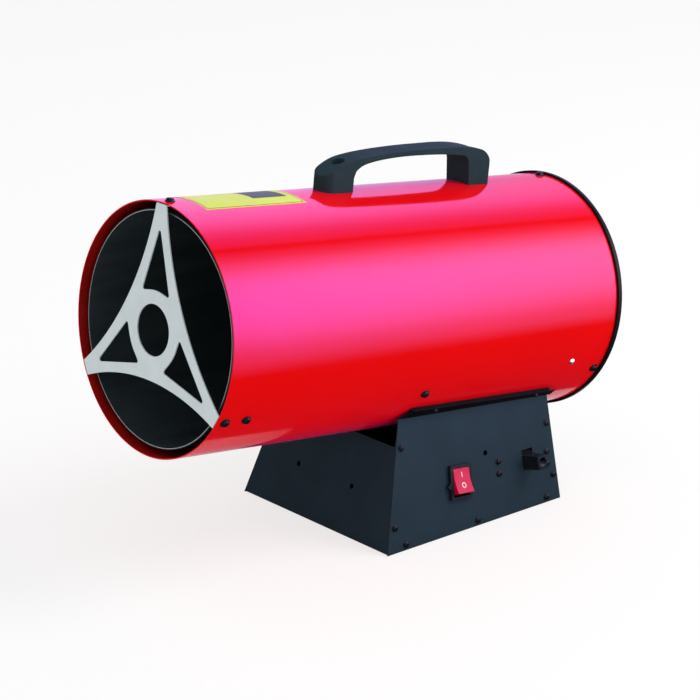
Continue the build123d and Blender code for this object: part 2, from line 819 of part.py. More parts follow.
upright_rear = bracket_front + bracket_sheet

with BuildPart() as motor_screws:
    with Locations(*[seat(across(upright_rear), x, turn=0) for x in (-bar_screw_x, bar_screw_x)]):
        with Locations(Rotation(180, 0, 0)):
            add(pan_screw(motor_screw, upright_rear - bar_front + 2))
motor_screws.part.label = "motor_screws"
export_step(motor_screws.part, "parts/motor_screws.step")

with BuildPart() as motor_shaft:
    with BuildSketch(across(shaft_front)):
        Circle(shaft_radius)
    extrude(amount=shaft_front - shaft_rear)
    chamfer(motor_shaft.edges().filter_by(GeomType.CIRCLE), shaft_radius * 0.2)
motor_shaft.part.label = "motor_shaft"
export_step(motor_shaft.part, "parts/motor_shaft.step")

with BuildPart() as rotor:
    with BuildSketch(across(stack_front - rotor_overhang)):
        Circle(rotor_radius)
        Circle(shaft_radius + press_clearance, mode=Mode.SUBTRACT)
    extrude(amount=-(stack_length + 2 * rotor_overhang))
rotor.part.label = "rotor"
export_step(rotor.part, "parts/rotor.step")


def blade_section(chord, pitch):
    """Cambered strip across the XY plane's origin; the pitch leans it from X towards Y."""
    half = chord / 2
    rise = chord * blade_camber
    with BuildSketch() as section:
        with BuildLine():
            ThreePointArc((-half, 0), (0, rise), (half, 0))
            Line((half, 0), (half, -blade_sheet))
            ThreePointArc((half, -blade_sheet), (0, rise - blade_sheet), (-half, -blade_sheet))
            Line((-half, -blade_sheet), (-half, 0))
        make_face()
    return section.sketch.rotate(Axis.Z, pitch)


with BuildPart() as fan:
    for number in range(fan_blades):
        angle = 90 + number * 360 / fan_blades
        for share, chord, pitch in blade_stations:
            # local X runs round the fan, local Y forwards
            station = Plane(
                across(fan_middle).origin + outward(angle) * share * fan_radius,
                x_dir=outward(angle - 90),
                z_dir=outward(angle - 90).cross(outlet.z_dir),
            )
            with BuildSketch(station):
                add(blade_section(chord, pitch))
        loft()
    with BuildSketch(across(fan_middle - fan_radius / 2)):
        Circle(fan_radius)
    extrude(amount=-fan_radius, mode=Mode.INTERSECT)
    with BuildSketch(middle):
        with BuildLine():
            Polyline(
                (fan_front, 0),
                (fan_front, fan_hub - fan_hub_bevel),
                (fan_front + fan_hub_bevel, fan_hub),
                (fan_front + fan_hub_length, fan_hub),
                (fan_front + fan_hub_length, 0),
                close=True,
            )
        make_face()
    revolve(axis=outlet_axis)
    with BuildSketch(across(fan_front)):
        Circle(shaft_radius + press_clearance)
    extrude(amount=-fan_hub_length, mode=Mode.SUBTRACT)
fan.part.label = "fan"
export_step(fan.part, "parts/fan.step")

with BuildPart() as fan_nut:
    with BuildSketch(across(shaft_front + 1)):
        RegularPolygon(nut_flats / 2, 6, major_radius=False)
        Circle(shaft_radius + press_clearance, mode=Mode.SUBTRACT)
    extrude(amount=shaft_front + 1 - fan_front)
fan_nut.part.label = "fan_nut"
export_step(fan_nut.part, "parts/fan_nut.step")

# ---- Burner -----------------------------------------------------------------------------

baffle_radius = flame_radius - flame_wall - baffle_gap
baffle_rear = baffle_at + baffle_sheet

with BuildPart() as burner_baffle:
    with BuildSketch(across(baffle_at)):
        Circle(baffle_radius)
        Circle(nozzle_collar - 2, mode=Mode.SUBTRACT)
        with PolarLocations(baffle_hole_circle, baffle_holes):
            Circle(baffle_hole, mode=Mode.SUBTRACT)
        with Locations(electrode_spot):
            Circle(electrode_radius + seat_gap, mode=Mode.SUBTRACT)
        with Locations(probe_spot):
            Circle(probe_radius + seat_gap, mode=Mode.SUBTRACT)
    extrude(amount=-baffle_sheet)
    with BuildSketch(across(baffle_at - baffle_rim)):
        Circle(baffle_radius)
        Circle(baffle_radius - baffle_sheet, mode=Mode.SUBTRACT)
    extrude(amount=-baffle_rim)
burner_baffle.part.label = "burner_baffle"
export_step(burner_baffle.part, "parts/burner_baffle.step")

with BuildPart() as burner_head:
    with BuildSketch(across(baffle_at - burner_length)):
        Circle(burner_radius)
    extrude(amount=-burner_length)
    with BuildSketch(across(baffle_at - burner_wall)):
        Circle(burner_flange)
    extrude(amount=-burner_wall)
    with BuildSketch(across(baffle_at - burner_length + burner_wall)):
        Circle(burner_radius - burner_wall)
    extrude(amount=-burner_length, mode=Mode.SUBTRACT)
    with BuildSketch(across(baffle_at - burner_length)):
        with PolarLocations(port_circle, port_count):
            Circle(port_radius)
        Circle(port_radius)
    extrude(amount=-burner_wall, mode=Mode.SUBTRACT)
burner_head.part.label = "burner_head"
export_step(burner_head.part, "parts/burner_head.step")

with BuildPart() as gas_nozzle:
    with BuildSketch(across(nozzle_front)):
        Circle(nozzle_tip)
    with BuildSketch(across(baffle_at)):
        Circle(nozzle_flats * 0.45)
    loft()
    with BuildSketch(across(baffle_at)):
        RegularPolygon(nozzle_flats / 2, 6, major_radius=False)
    extrude(amount=baffle_at - nozzle_rear)
    with BuildSketch(across(baffle_rear + seat_gap)):
        Circle(nozzle_collar)
    extrude(amount=-nozzle_collar_width)
    with BuildSketch(across(nozzle_front)):
        Circle(nozzle_tip * 0.4)
    extrude(amount=nozzle_front - baffle_rear, mode=Mode.SUBTRACT)
gas_nozzle.part.label = "gas_nozzle"
export_step(gas_nozzle.part, "parts/gas_nozzle.step")

with BuildPart() as spark_electrode:
    with BuildSketch(across(electrode_front)):
        with Locations(electrode_spot):
            Circle(electrode_radius)
    extrude(amount=electrode_front - rod_rear)
    with BuildSketch(across(baffle_rear + seat_gap)):
        with Locations(electrode_spot):
            Circle(rod_collar)
    extrude(amount=-rod_collar_width)
    with BuildSketch(across(electrode_front - pin_length)):
        with Locations(electrode_spot):
            Circle(pin_radius)
    extrude(amount=-pin_length)
spark_electrode.part.label = "spark_electrode"
export_step(spark_electrode.part, "parts/spark_electrode.step")

with BuildPart() as flame_probe:
    with BuildSketch(across(probe_front)):
        with Locations(probe_spot):
            Circle(probe_radius)
    extrude(amount=probe_front - rod_rear)
    with BuildSketch(across(baffle_rear + seat_gap)):
        with Locations(probe_spot):
            Circle(rod_collar)
    extrude(amount=-rod_collar_width)
flame_probe.part.label = "flame_probe"
export_step(flame_probe.part, "parts/flame_probe.step")

# ---- Base -------------------------------------------------------------------------------

with BuildPart() as base_tray:
    with BuildSketch(Plane.YZ):
        with BuildLine():
            FilletPolyline(
                (-base_length / 2 + front_top * tan(radians(front_lean)), front_top),
                (-base_length / 2, 0),
                (base_length / 2, 0),
                (base_length / 2, rear_top),
                radius=fold_radius,
            )
            offset(amount=sheet, side=Side.LEFT)
        make_face()
    extrude(amount=base_width / 2)
    split(bisect_by=lap_face, keep=Keep.BOTTOM)
    with BuildSketch(lap_face):
        lap_foot = lap_width + lap_relief
        Polygon(
            (front_slope * lap_foot + seat_gap, lap_foot),
            (front_slope * lap_foot + lap_width, lap_foot),
            (front_slope * lap_front_top + lap_width, lap_front_top),
            (front_slope * lap_front_top + seat_gap, lap_front_top),
            align=None,
        )
        Polygon(
            (lap_foot + lap_relief, seat_gap),
            (base_length - lap_foot, seat_gap),
            (base_length - lap_foot, lap_width),
            (lap_foot + lap_relief, lap_width),
            align=None,
        )
        Polygon(
            (base_length - lap_width, lap_foot),
            (base_length - seat_gap, lap_foot),
            (base_length - seat_gap, lap_rear_top),
            (base_length - lap_width, lap_rear_top),
            align=None,
        )
    extrude(amount=-sheet)
    with BuildSketch(valve_seat.offset(seat_gap)):
        Rectangle(valve_plate[0] + 2 * seat_gap + 1, valve_plate[1] + 2)
    extrude(amount=-valve_plate[2] - 2 * seat_gap, mode=Mode.SUBTRACT)
    with Locations(*[seat(side_face, u, v) for u, v in lap_spots]):
        Cylinder(screw_hole(panel_screw), 8 * sheet, mode=Mode.SUBTRACT)
    mirror(about=Plane.YZ)
    with BuildSketch(front_face):
        with Locations(
            (-front_hole_spread / 2, front_hole_height), (front_hole_spread / 2, front_hole_height)
        ):
            Circle(plain_hole / 2)
    extrude(amount=-2 * sheet, mode=Mode.SUBTRACT)
    with Locations(valve_button_seat):
        Cylinder(valve_stem + slide_clearance, 4 * sheet, mode=Mode.SUBTRACT)
    with Locations(igniter_seat):
        Cylinder(igniter_radius + seat_gap, 4 * sheet, mode=Mode.SUBTRACT)
    with Locations(gland_seat):
        Cylinder(gland_thread + seat_gap, 4 * sheet, mode=Mode.SUBTRACT)
    with BuildSketch(outlet):
        Circle(shell_radius + tube_gap)
    extrude(amount=-shell_length, mode=Mode.SUBTRACT)
base_tray.part.label = "base_tray"
export_step(base_tray.part, "parts/base_tray.step")


def side_panel():
    """Leaning side of the base with its saddle flange and the holes both sides share."""
    low = panel_lift / cos(lean)
    with BuildPart() as panel:
        with BuildSketch(side_face):
            Polygon(
                (front_slope * low, low),
                (base_length, low),
                (base_length, bend_height(base_length) + bend_lap),
                (bend_front, bend_height(bend_front) + bend_lap),
                align=None,
            )
        extrude(amount=-sheet)
        with BuildSketch(saddle_face):
            Polygon(
                (flange_front.X, flange_front.Y - bend_lap),
                (flange_rear.X + saddle_overrun, flange_rear.Y - bend_lap),
                (flange_rear.X + saddle_overrun, saddle_edge),
                (flange_front.X + saddle_mitre, saddle_edge),
                align=None,
            )
        extrude(amount=-sheet)
        with Locations(*[seat(side_face, u, v) for u, v in lap_spots]):
            Cylinder(screw_hole(panel_screw), 4 * sheet, mode=Mode.SUBTRACT)
        with Locations(*[seat(saddle_face, at, saddle_screw_line) for at in saddle_screws_at]):
            Cylinder(screw_hole(small_screw), 4 * sheet, mode=Mode.SUBTRACT)
    return panel.part


with BuildPart() as control_panel:
    add(side_panel())
    with BuildSketch(side_face):
        with Locations(Location((*switch_at, 0), (0, 0, switch_turn))):
            Rectangle(*(size + 2 * seat_gap for size in switch_body))
        with Locations((inlet_at[0], inlet_at[1] + inlet_cutout_top / 2)):
            Rectangle(
                inlet_size[0] + 2 * inlet_cutout_gap,
                inlet_size[1] + 2 * inlet_cutout_gap + inlet_cutout_top,
            )
        with Locations(spare_hole_at):
            Circle(plain_hole / 2)
    extrude(amount=-2 * sheet, mode=Mode.SUBTRACT)
    with Locations(*valve_screw_seats):
        Cylinder(screw_hole(panel_screw), 4 * sheet, mode=Mode.SUBTRACT)
control_panel.part.label = "control_panel"
export_step(control_panel.part, "parts/control_panel.step")

with BuildPart() as plain_panel:
    add(mirror(side_panel(), about=Plane.YZ))
plain_panel.part.label = "plain_panel"
export_step(plain_panel.part, "parts/plain_panel.step")

with BuildPart() as panel_screws:
    with Locations(*lap_screw_seats):
        add(pan_screw(panel_screw, 3 * sheet + 1.5))
panel_screws.part.label = "panel_screws"
export_step(panel_screws.part, "parts/panel_screws.step")

with BuildPart() as saddle_pads:
    with BuildSketch(saddle_face.offset(-sheet - seat_gap)):
        Polygon(
            (flange_front.X + saddle_mitre, flange_rear.Y),
            (flange_rear.X, flange_rear.Y),
            (flange_rear.X, saddle_edge - saddle_pad_inset),
            (flange_front.X + saddle_mitre, saddle_edge - saddle_pad_inset),
            align=None,
        )
    extrude(amount=-2 * saddle_pad)
    with BuildSketch(outlet):
        Circle(shell_radius + seat_gap)
    extrude(amount=-shell_length, mode=Mode.SUBTRACT)
    with Locations(*[seat(saddle_face, at, saddle_screw_line) for at in saddle_screws_at]):
        Cylinder(screw_hole(small_screw), 8 * saddle_pad, mode=Mode.SUBTRACT)
    mirror(about=Plane.YZ)
saddle_pads.part.label = "saddle_pads"
export_step(saddle_pads.part, "parts/saddle_pads.step")

with BuildPart() as saddle_screws:
    with Locations(*saddle_screw_seats):
        add(pan_screw(small_screw, sheet + saddle_pad + shell_wall + 2.5))
saddle_screws.part.label = "saddle_screws"
export_step(saddle_screws.part, "parts/saddle_screws.step")

# ---- Switch -----------------------------------------------------------------------------

switch_face = seat(side_face.offset(seat_gap), *switch_at, switch_turn)
rocker_plane = seat(
    Plane(switch_face.origin, switch_face.y_dir, switch_face.x_dir), 0, turn=-rocker_tilt
)
pin_reach = rocker_size[0] / 2 + rocker_gap + pivot_pin_length

with BuildPart() as switch_housing:
    with BuildSketch(switch_face):
        RectangleRounded(*bezel_size, bezel_round)
        with Locations((-bezel_size[0] / 2, -bezel_clip[1] / 2)):
            Polygon((0, -bezel_clip[1] / 2), (0, bezel_clip[1] / 2), (-bezel_clip[0], 0), align=None)
    extrude(amount=bezel_height)
    with BuildSketch(switch_face):
        Rectangle(*switch_body)
    extrude(amount=-switch_depth)
    with BuildSketch(switch_face.offset(bezel_height)):
        Rectangle(rocker_size[0] + 2 * rocker_gap, rocker_size[1] + 2 * rocker_swing_gap)
    extrude(amount=-bezel_height - rocker_well, mode=Mode.SUBTRACT)
    with BuildSketch(rocker_plane):
        Circle(pivot_pin + running_clearance)
    extrude(amount=pin_reach + running_clearance, both=True, mode=Mode.SUBTRACT)
switch_housing.part.label = "switch_housing"
export_step(switch_housing.part, "parts/switch_housing.step")

with BuildPart() as switch_rocker:
    with BuildSketch(rocker_plane) as rocker_section:
        half = rocker_size[1] / 2
        Polygon(
            (half, rocker_tip),
            (0, rocker_dip),
            (-half, rocker_tip),
            (-half, -rocker_root),
            (half, -rocker_root),
            align=None,
        )
    extrude(amount=rocker_size[0] / 2, both=True)
    with BuildSketch(rocker_plane):
        Circle(pivot_pin)
    extrude(amount=pin_reach, both=True)
switch_rocker.part.label = "switch_rocker"
export_step(switch_rocker.part, "parts/switch_rocker.step")

with BuildPart() as switch_terminals:
    with BuildSketch(switch_face.offset(-switch_depth)):
        with GridLocations(switch_body[0] / 2, switch_body[1] / 2, 2, 2):
            Rectangle(terminal_size[0], terminal_size[1])
    extrude(amount=-terminal_size[2])
switch_terminals.part.label = "switch_terminals"
export_step(switch_terminals.part, "parts/switch_terminals.step")

# ---- Gas inlet, valve and igniter -------------------------------------------------------

with BuildPart() as gas_inlet:
    with BuildSketch(inlet_seat):
        Rectangle(*inlet_size)
    extrude(amount=sheet + seat_gap + inlet_length)
    chamfer(gas_inlet.faces().sort_by(Axis(inlet_seat.origin, inlet_seat.z_dir))[-1].edges(), 0.8)
    with BuildSketch(inlet_seat.offset(sheet + seat_gap + inlet_length)):
        Circle(inlet_bore)
    extrude(amount=-inlet_bore_depth, mode=Mode.SUBTRACT)
gas_inlet.part.label = "gas_inlet"
export_step(gas_inlet.part, "parts/gas_inlet.step")

body_seat = seat(side_inner.offset(-seat_gap - valve_plate[2]), *valve_at)

with BuildPart() as gas_valve:
    with BuildSketch(body_seat):
        RectangleRounded(valve_body[0], valve_body[1], valve_round)
    extrude(amount=-valve_body[2])
    with BuildSketch(valve_seat):
        RectangleRounded(valve_plate[0], valve_plate[1], valve_round)
        with GridLocations(*valve_screw_grid, 2, 2):
            Circle(screw_hole(panel_screw), mode=Mode.SUBTRACT)
    extrude(amount=-valve_plate[2])
    with Locations(valve_button_seat):
        Cylinder(
            valve_stem + running_clearance,
            2 * (base_length - valve_at[0] - valve_body[0] / 2 + valve_stem_depth + valve_travel + 2),
            mode=Mode.SUBTRACT,
        )
gas_valve.part.label = "gas_valve"
export_step(gas_valve.part, "parts/gas_valve.step")

with BuildPart() as valve_screws:
    with Locations(*valve_screw_seats):
        add(pan_screw(panel_screw, sheet + valve_plate[2] + 1.5))
valve_screws.part.label = "valve_screws"
export_step(valve_screws.part, "parts/valve_screws.step")

stem_length = base_length - valve_at[0] - valve_body[0] / 2 + valve_stem_depth

with BuildPart() as valve_button:
    with BuildSketch(valve_button_seat.offset(valve_travel + 1)):
        Circle(valve_cap)
    extrude(amount=valve_cap_length)
    chamfer(valve_button.edges().sort_by(Axis.Y)[-1], 1.2)
    with BuildSketch(valve_button_seat.offset(valve_travel + 1)):
        Circle(valve_stem)
    extrude(amount=-stem_length - valve_travel - 1)
valve_button.part.label = "valve_button"
export_step(valve_button.part, "parts/valve_button.step")

igniter_bore_depth = igniter_button_depth + igniter_travel + 2

with BuildPart() as igniter_body:
    with BuildSketch(igniter_seat.offset(seat_gap)):
        Circle(igniter_radius)
    extrude(amount=-igniter_length - seat_gap)
    with BuildSketch(igniter_seat.offset(seat_gap)):
        Circle(igniter_collar)
    extrude(amount=igniter_collar_height)
    chamfer(igniter_body.edges().sort_by(Axis.Y)[-1], 0.8)
    with BuildSketch(igniter_seat.offset(igniter_collar_height + seat_gap)):
        Circle(igniter_button_radius + slide_clearance)
    extrude(amount=-igniter_bore_depth, mode=Mode.SUBTRACT)
igniter_body.part.label = "igniter_body"
export_step(igniter_body.part, "parts/igniter_body.step")

with BuildPart() as igniter_button:
    with BuildSketch(igniter_seat.offset(igniter_collar_height + igniter_button_stand)):
        Circle(igniter_button_radius)
    extrude(amount=-igniter_button_stand - igniter_button_depth)
    chamfer(igniter_button.edges().sort_by(Axis.Y)[-1], 1.0)
igniter_button.part.label = "igniter_button"
export_step(igniter_button.part, "parts/igniter_button.step")

# ---- Cable gland and terminal block -----------------------------------------------------

with BuildPart() as cable_gland:
    with BuildSketch(gland_seat.offset(seat_gap)):
        Circle(gland_head)
    extrude(amount=gland_stand / 3)
    with BuildSketch(gland_seat.offset(seat_gap + gland_stand / 3)):
        Circle(gland_head)
    with BuildSketch(gland_seat.offset(seat_gap + gland_stand)):
        Circle(gland_nose)
    loft()
    with BuildSketch(gland_seat.offset(seat_gap)):
        Circle(gland_thread)
    extrude(amount=-gland_inside - seat_gap)
    with BuildSketch(gland_seat.offset(-sheet - seat_gap)):
        RegularPolygon(gland_nut / 2, 6, major_radius=False)
    extrude(amount=-gland_nut_height)
    with BuildSketch(gland_seat.offset(seat_gap + gland_stand)):
        Circle(gland_bore)
    extrude(amount=-gland_stand - gland_inside - 2 * seat_gap, mode=Mode.SUBTRACT)
cable_gland.part.label = "cable_gland"
export_step(cable_gland.part, "parts/cable_gland.step")

with BuildPart() as terminal_block:
    with BuildSketch(Plane.XY.offset(sheet + seat_gap)):
        with Locations(block_at):
            Rectangle(block_size[0], block_size[1])
    extrude(amount=block_size[2])
    with BuildSketch(Plane.XY.offset(sheet + seat_gap + block_size[2])):
        with Locations(block_at):
            with GridLocations(block_size[0] / block_ways, block_size[1] / 2, block_ways, 2):
                Circle(2)
    extrude(amount=-block_size[2] / 3, mode=Mode.SUBTRACT)
terminal_block.part.label = "terminal_block"
export_step(terminal_block.part, "parts/terminal_block.step")

# ---- Pipe and leads ---------------------------------------------------------------------


def tube_point(behind, x, up):
    """Point inside the tube, by how far it lies behind the outlet rim, across and up."""
    return outlet.from_local_coords(Vector(x, up, -behind))


def riser_foot(behind, x, height):
    """Lower end of a run square to the tube's axis, at this height above the floor."""
    axis_height = tube_point(behind, x, 0).Z
    return tube_point(behind, x, (height - axis_height) / outlet.y_dir.Z)


def run(points, bend, radius):
    """Round pipe or lead along straight runs joined by arcs."""
    with BuildPart() as pipe:
        with BuildLine() as route:
            FilletPolyline(*points, radius=bend)
        with BuildSketch(Plane(route.line @ 0, z_dir=route.line % 0)):
            Circle(radius)
        sweep(path=route.line)
    return pipe.part


valve_outlet = body_seat.offset(-valve_body[2] - seat_gap)

with BuildPart() as gas_pipe:
    add(
        run(
            [
                tube_point(nozzle_rear + seat_gap, 0, 0),
                tube_point(pipe_riser_at, 0, 0),
                riser_foot(pipe_riser_at, 0, pipe_foot),
                valve_outlet.offset(-pipe_stub).origin,
                valve_outlet.origin,
            ],
            pipe_bend,
            pipe_radius,
        )
    )
gas_pipe.part.label = "gas_pipe"
export_step(gas_pipe.part, "parts/gas_pipe.step")

igniter_end = igniter_seat.offset(-igniter_length - seat_gap)

with BuildPart() as ignition_lead:
    add(
        run(
            [
                tube_point(rod_rear + seat_gap, *electrode_spot),
                tube_point(lead_riser_at, *electrode_spot),
                riser_foot(lead_riser_at, electrode_spot[0], ignition_foot),
                igniter_end.offset(-lead_stub).origin,
                igniter_end.origin,
            ],
            lead_bend,
            ignition_lead_radius,
        )
    )
ignition_lead.part.label = "ignition_lead"
export_step(ignition_lead.part, "parts/ignition_lead.step")

probe_socket = Plane(
    body_seat.from_local_coords(Vector(-valve_body[0] / 2 - seat_gap, 0, -valve_body[2] / 2)),
    z_dir=(0, -1, 0),
)

with BuildPart() as probe_lead:
    add(
        run(
            [
                tube_point(rod_rear + seat_gap, *probe_spot),
                tube_point(lead_riser_at, *probe_spot),
                riser_foot(lead_riser_at, probe_spot[0], probe_foot),
                probe_turn,
                probe_socket.offset(lead_stub).origin,
                probe_socket.origin,
            ],
            lead_bend,
            probe_lead_radius,
        )
    )
probe_lead.part.label = "probe_lead"
export_step(probe_lead.part, "parts/probe_lead.step")

block_rear = Vector(
    block_at[0] - block_size[0] / 4, block_at[1] + block_size[1] / 2 + seat_gap, block_size[2] / 2 + sheet
)

with BuildPart() as motor_lead:
    add(
        run(
            [
                tube_point(motor_lead_at, motor_lead_x, -coil_height / 2 - seat_gap),
                riser_foot(motor_lead_at, motor_lead_x, motor_lead_foot),
                block_rear + Vector(0, lead_stub, 0),
                block_rear,
            ],
            lead_bend,
            motor_lead_radius,
        )
    )
motor_lead.part.label = "motor_lead"
export_step(motor_lead.part, "parts/motor_lead.step")
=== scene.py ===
import json
from math import atan2, cos, degrees, pi, radians, sin

import bmesh
import bpy
from mathutils import Matrix, Vector

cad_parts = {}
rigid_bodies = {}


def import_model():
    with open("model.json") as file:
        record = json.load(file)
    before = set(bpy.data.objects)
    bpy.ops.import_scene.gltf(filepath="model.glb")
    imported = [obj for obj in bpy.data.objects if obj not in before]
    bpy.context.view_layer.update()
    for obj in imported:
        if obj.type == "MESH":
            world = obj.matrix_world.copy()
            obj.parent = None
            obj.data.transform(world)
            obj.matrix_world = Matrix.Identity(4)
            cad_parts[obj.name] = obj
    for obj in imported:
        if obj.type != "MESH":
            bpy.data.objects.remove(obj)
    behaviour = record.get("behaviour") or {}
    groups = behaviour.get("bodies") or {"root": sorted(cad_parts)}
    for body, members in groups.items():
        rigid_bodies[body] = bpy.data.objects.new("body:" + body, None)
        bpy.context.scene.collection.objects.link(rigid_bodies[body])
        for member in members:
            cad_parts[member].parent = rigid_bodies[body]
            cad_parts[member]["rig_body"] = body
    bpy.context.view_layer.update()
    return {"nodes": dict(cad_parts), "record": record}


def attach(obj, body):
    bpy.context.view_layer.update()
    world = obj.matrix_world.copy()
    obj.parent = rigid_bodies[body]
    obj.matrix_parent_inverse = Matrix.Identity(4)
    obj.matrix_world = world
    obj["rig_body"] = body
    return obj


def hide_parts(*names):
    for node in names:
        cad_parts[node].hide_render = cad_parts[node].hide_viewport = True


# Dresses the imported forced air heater. Metres; +X is the switch side, +Y the rear, +Z up.
# Profiles are (radius, along) points, and angles on the tube are 0 at the switch side, 90 on top.

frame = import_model()
nodes = frame["nodes"]

# ---- Sizes ------------------------------------------------------------------------------

seat_gap = 0.0001

shell_radius = 0.108
shell_wall = 0.001
shell_length = 0.444
tube_tilt = radians(6.5)
outlet_height = 0.218
outlet_ahead = 0.277

flame_radius = 0.0996
flame_wall = 0.0008
flame_front = 0.005     # behind the outlet rim
flame_rear = 0.295
flame_bead = 0.0007
flame_bead_width = 0.0016

grille_flange = 0.1102
grille_flange_width = 0.005
grille_skirt = 0.016
grille_wall = 0.0015
grille_opening = 0.101
grille_lip = 0.0018
wire = 0.0024
wire_rings = (0.022, 0.038, 0.054, 0.070, 0.086)
wire_spokes = 6

arm_angles = (90, 211, 329)
clip_angles = (211, 329)
grille_angles = (90, 210, 330)
guard_screw_at = 0.0084
clip_screws_at = (0.0304, 0.2278)
grille_screw_at = 0.437
rivet_at = 0.402
rivet_angle = -23.6
handle_screws_at = (0.1859, 0.343)
window_foot = (0.0285, 0.0345)  # radii between which the inner edges of the guard's windows lie
window_half = 27.0              # degrees, half of such an edge
window_bow = 0.0022
nose_front, nose_rear = 0.1635, 0.192
nose_back, nose_in = 0.003, 0.08
handle_sole = 0.006

base_length = 0.2115
base_width = 0.2016
side_lean = radians(12.6)
valve_at = (0.1712, 0.0434)
valve_turn = radians(-4.6)
inlet_at = (0.178, 0.043)
inlet_reach = 0.0193
inlet_bore = 0.00426
inlet_threads = 9
inlet_pitch = 0.0009
thread_root, thread_crest = 0.0001, 0.0007  # in from the bore
thread_sunk = 0.0006
valve_grid = (0.0602, 0.011)
lap_inset = 0.0054
lap_front = ((0.01206, 0.0226), (0.03179, 0.08956))
lap_rear_up = (0.0242, 0.0724)
lap_low_along = (0.022, 0.10815, 0.1943)
saddle_angle = -47
saddle_screws_at = (0.252, 0.377)
saddle_screw_rise = 0.00791
saddle_screw_radius = 0.112
flange_reach = 0.1138           # the saddle flanges lie within this of the tube's axis
switch_at = (0.0925, 0.0446)
switch_turn = radians(-6)
rocker_tilt = radians(15)
rocker_tip = 0.0064
rocker_dip = 0.0052
rocker_half = 0.0112

tube_screw = (0.0086, 0.004, 0.0048)    # head, shank and length under the head
grille_screw = (0.0086, 0.004, 0.0055)
handle_screw = (0.0096, 0.005, 0.013)
panel_screw = (0.0064, 0.0032, 0.0051)
valve_screw = (0.0064, 0.0032, 0.0047)
saddle_screw = (0.005, 0.0026, 0.0072)
rivet = (0.0058, 0.0032, 0.0044)

film_height = 0.00012                   # of the sticker above the paint
field_height = 0.00016
ink_height = 0.0002
rocker_ink_height = 0.00003
bar_at, bar_width, bar_length = 0.0056, 0.0009, 0.0044
nought_at, nought_inner, nought_outer = 0.0042, 0.0014, 0.0021
nought_stretch = (1.08, 1.24)

around, around_screw = 256, 40          # steps round the tube and round a screw or rivet
join_within = 0.000001                  # vertices this close are one
join_within_cad = 0.000002              # and in the meshes of the CAD

# ---- Places -----------------------------------------------------------------------------

# Tube frame: X across, Y rearward along the tube from the outlet rim, Z up from its axis.
tube = Matrix.Translation((0, -outlet_ahead, outlet_height)) @ Matrix.Rotation(-tube_tilt, 4, "X")


def tube_seat(behind, angle, radius, across=0.0):
    """Frame on the tube, its Z outwards; angle in degrees, 0 the switch side and 90 the top."""
    turn = Matrix.Rotation(radians(90 - angle), 4, "Y")
    out = Matrix.Translation((across, 0, radius))
    return tube @ Matrix.Translation((0, behind, 0)) @ turn @ out


def panel_seat(along, up, out=seat_gap, side=1):
    """Frame on a side panel, its Z outwards; along runs rearward and up runs up the panel."""
    rise = Vector((-side * sin(side_lean), 0, cos(side_lean)))
    normal = Vector((side * cos(side_lean), 0, sin(side_lean)))
    place = Vector((side * base_width / 2, -base_length / 2, 0))
    place += Vector((0, along, 0)) + rise * up + normal * out
    columns = Matrix((rise.cross(normal), rise, normal)).transposed().to_4x4()
    return Matrix.Translation(place) @ columns


# ---- Finishes ---------------------------------------------------------------------------


def new_finish(name):
    """Material with its shader and a place to read patterns from."""
    finish = bpy.data.materials.new(name)
    finish.use_nodes = True
    tree = finish.node_tree
    shader = tree.nodes["Principled BSDF"]
    places = tree.nodes.new("ShaderNodeTexCoord")
    return finish, tree, shader, places.outputs["Object"]


def add_noise(tree, places, scale, detail=3.0):
    """Cloudy pattern; the scale is how many clouds fit in a metre."""
    noise = tree.nodes.new("ShaderNodeTexNoise")
    noise.inputs["Scale"].default_value = scale
    noise.inputs["Detail"].default_value = detail
    noise.inputs["Roughness"].default_value = 0.5
    tree.links.new(places, noise.inputs["Vector"])
    return noise.outputs["Fac"]


def stretched(tree, places, scale):
    """The same places, stretched, for brushed and drawn metal."""
    mapping = tree.nodes.new("ShaderNodeMapping")
    mapping.inputs["Scale"].default_value = scale
    tree.links.new(places, mapping.inputs["Vector"])
    return mapping.outputs["Vector"]


pattern_span = (0.3, 0.7)   # most of a noise pattern lies between these


def add_ramp(tree, value, stops):
    """Colour by value, from (value, colour) stops."""
    ramp = tree.nodes.new("ShaderNodeValToRGB")
    for number, (place, colour) in enumerate(stops):
        if number < 2:
            stop = ramp.color_ramp.elements[number]
            stop.position = place
        else:
            stop = ramp.color_ramp.elements.new(place)
        stop.color = (*colour, 1)
    tree.links.new(value, ramp.inputs["Fac"])
    return ramp.outputs["Color"]


def add_range(tree, value, span, onto=(0, 1)):
    """Value carried from one span onto another and held within it."""
    spread = tree.nodes.new("ShaderNodeMapRange")
    for end, number in zip(("From Min", "From Max", "To Min", "To Max"), (*span, *onto)):
        spread.inputs[end].default_value = number
    tree.links.new(value, spread.inputs["Value"])
    return spread.outputs["Result"]


def add_maths(tree, operation, *operands):
    """Result of one operation on numbers or on other nodes' outputs."""
    maths = tree.nodes.new("ShaderNodeMath")
    maths.operation = operation
    for place, operand in zip(maths.inputs, operands):
        if isinstance(operand, (int, float)):
            place.default_value = operand
        else:
            tree.links.new(operand, place)
    return maths.outputs["Value"]


def vary_colour(tree, shader, pattern, low, high):
    colour = add_ramp(tree, pattern, list(zip(pattern_span, (low, high))))
    tree.links.new(colour, shader.inputs["Base Color"])


def vary_roughness(tree, shader, pattern, low, high):
    roughness = add_range(tree, pattern, pattern_span, (low, high))
    tree.links.new(roughness, shader.inputs["Roughness"])


def add_bump(tree, shader, pattern, distance, strength):
    """Relief of the pattern; distance is its height in metres."""
    bump = tree.nodes.new("ShaderNodeBump")
    bump.inputs["Distance"].default_value = distance
    bump.inputs["Strength"].default_value = strength
    tree.links.new(pattern, bump.inputs["Height"])
    tree.links.new(bump.outputs["Normal"], shader.inputs["Normal"])


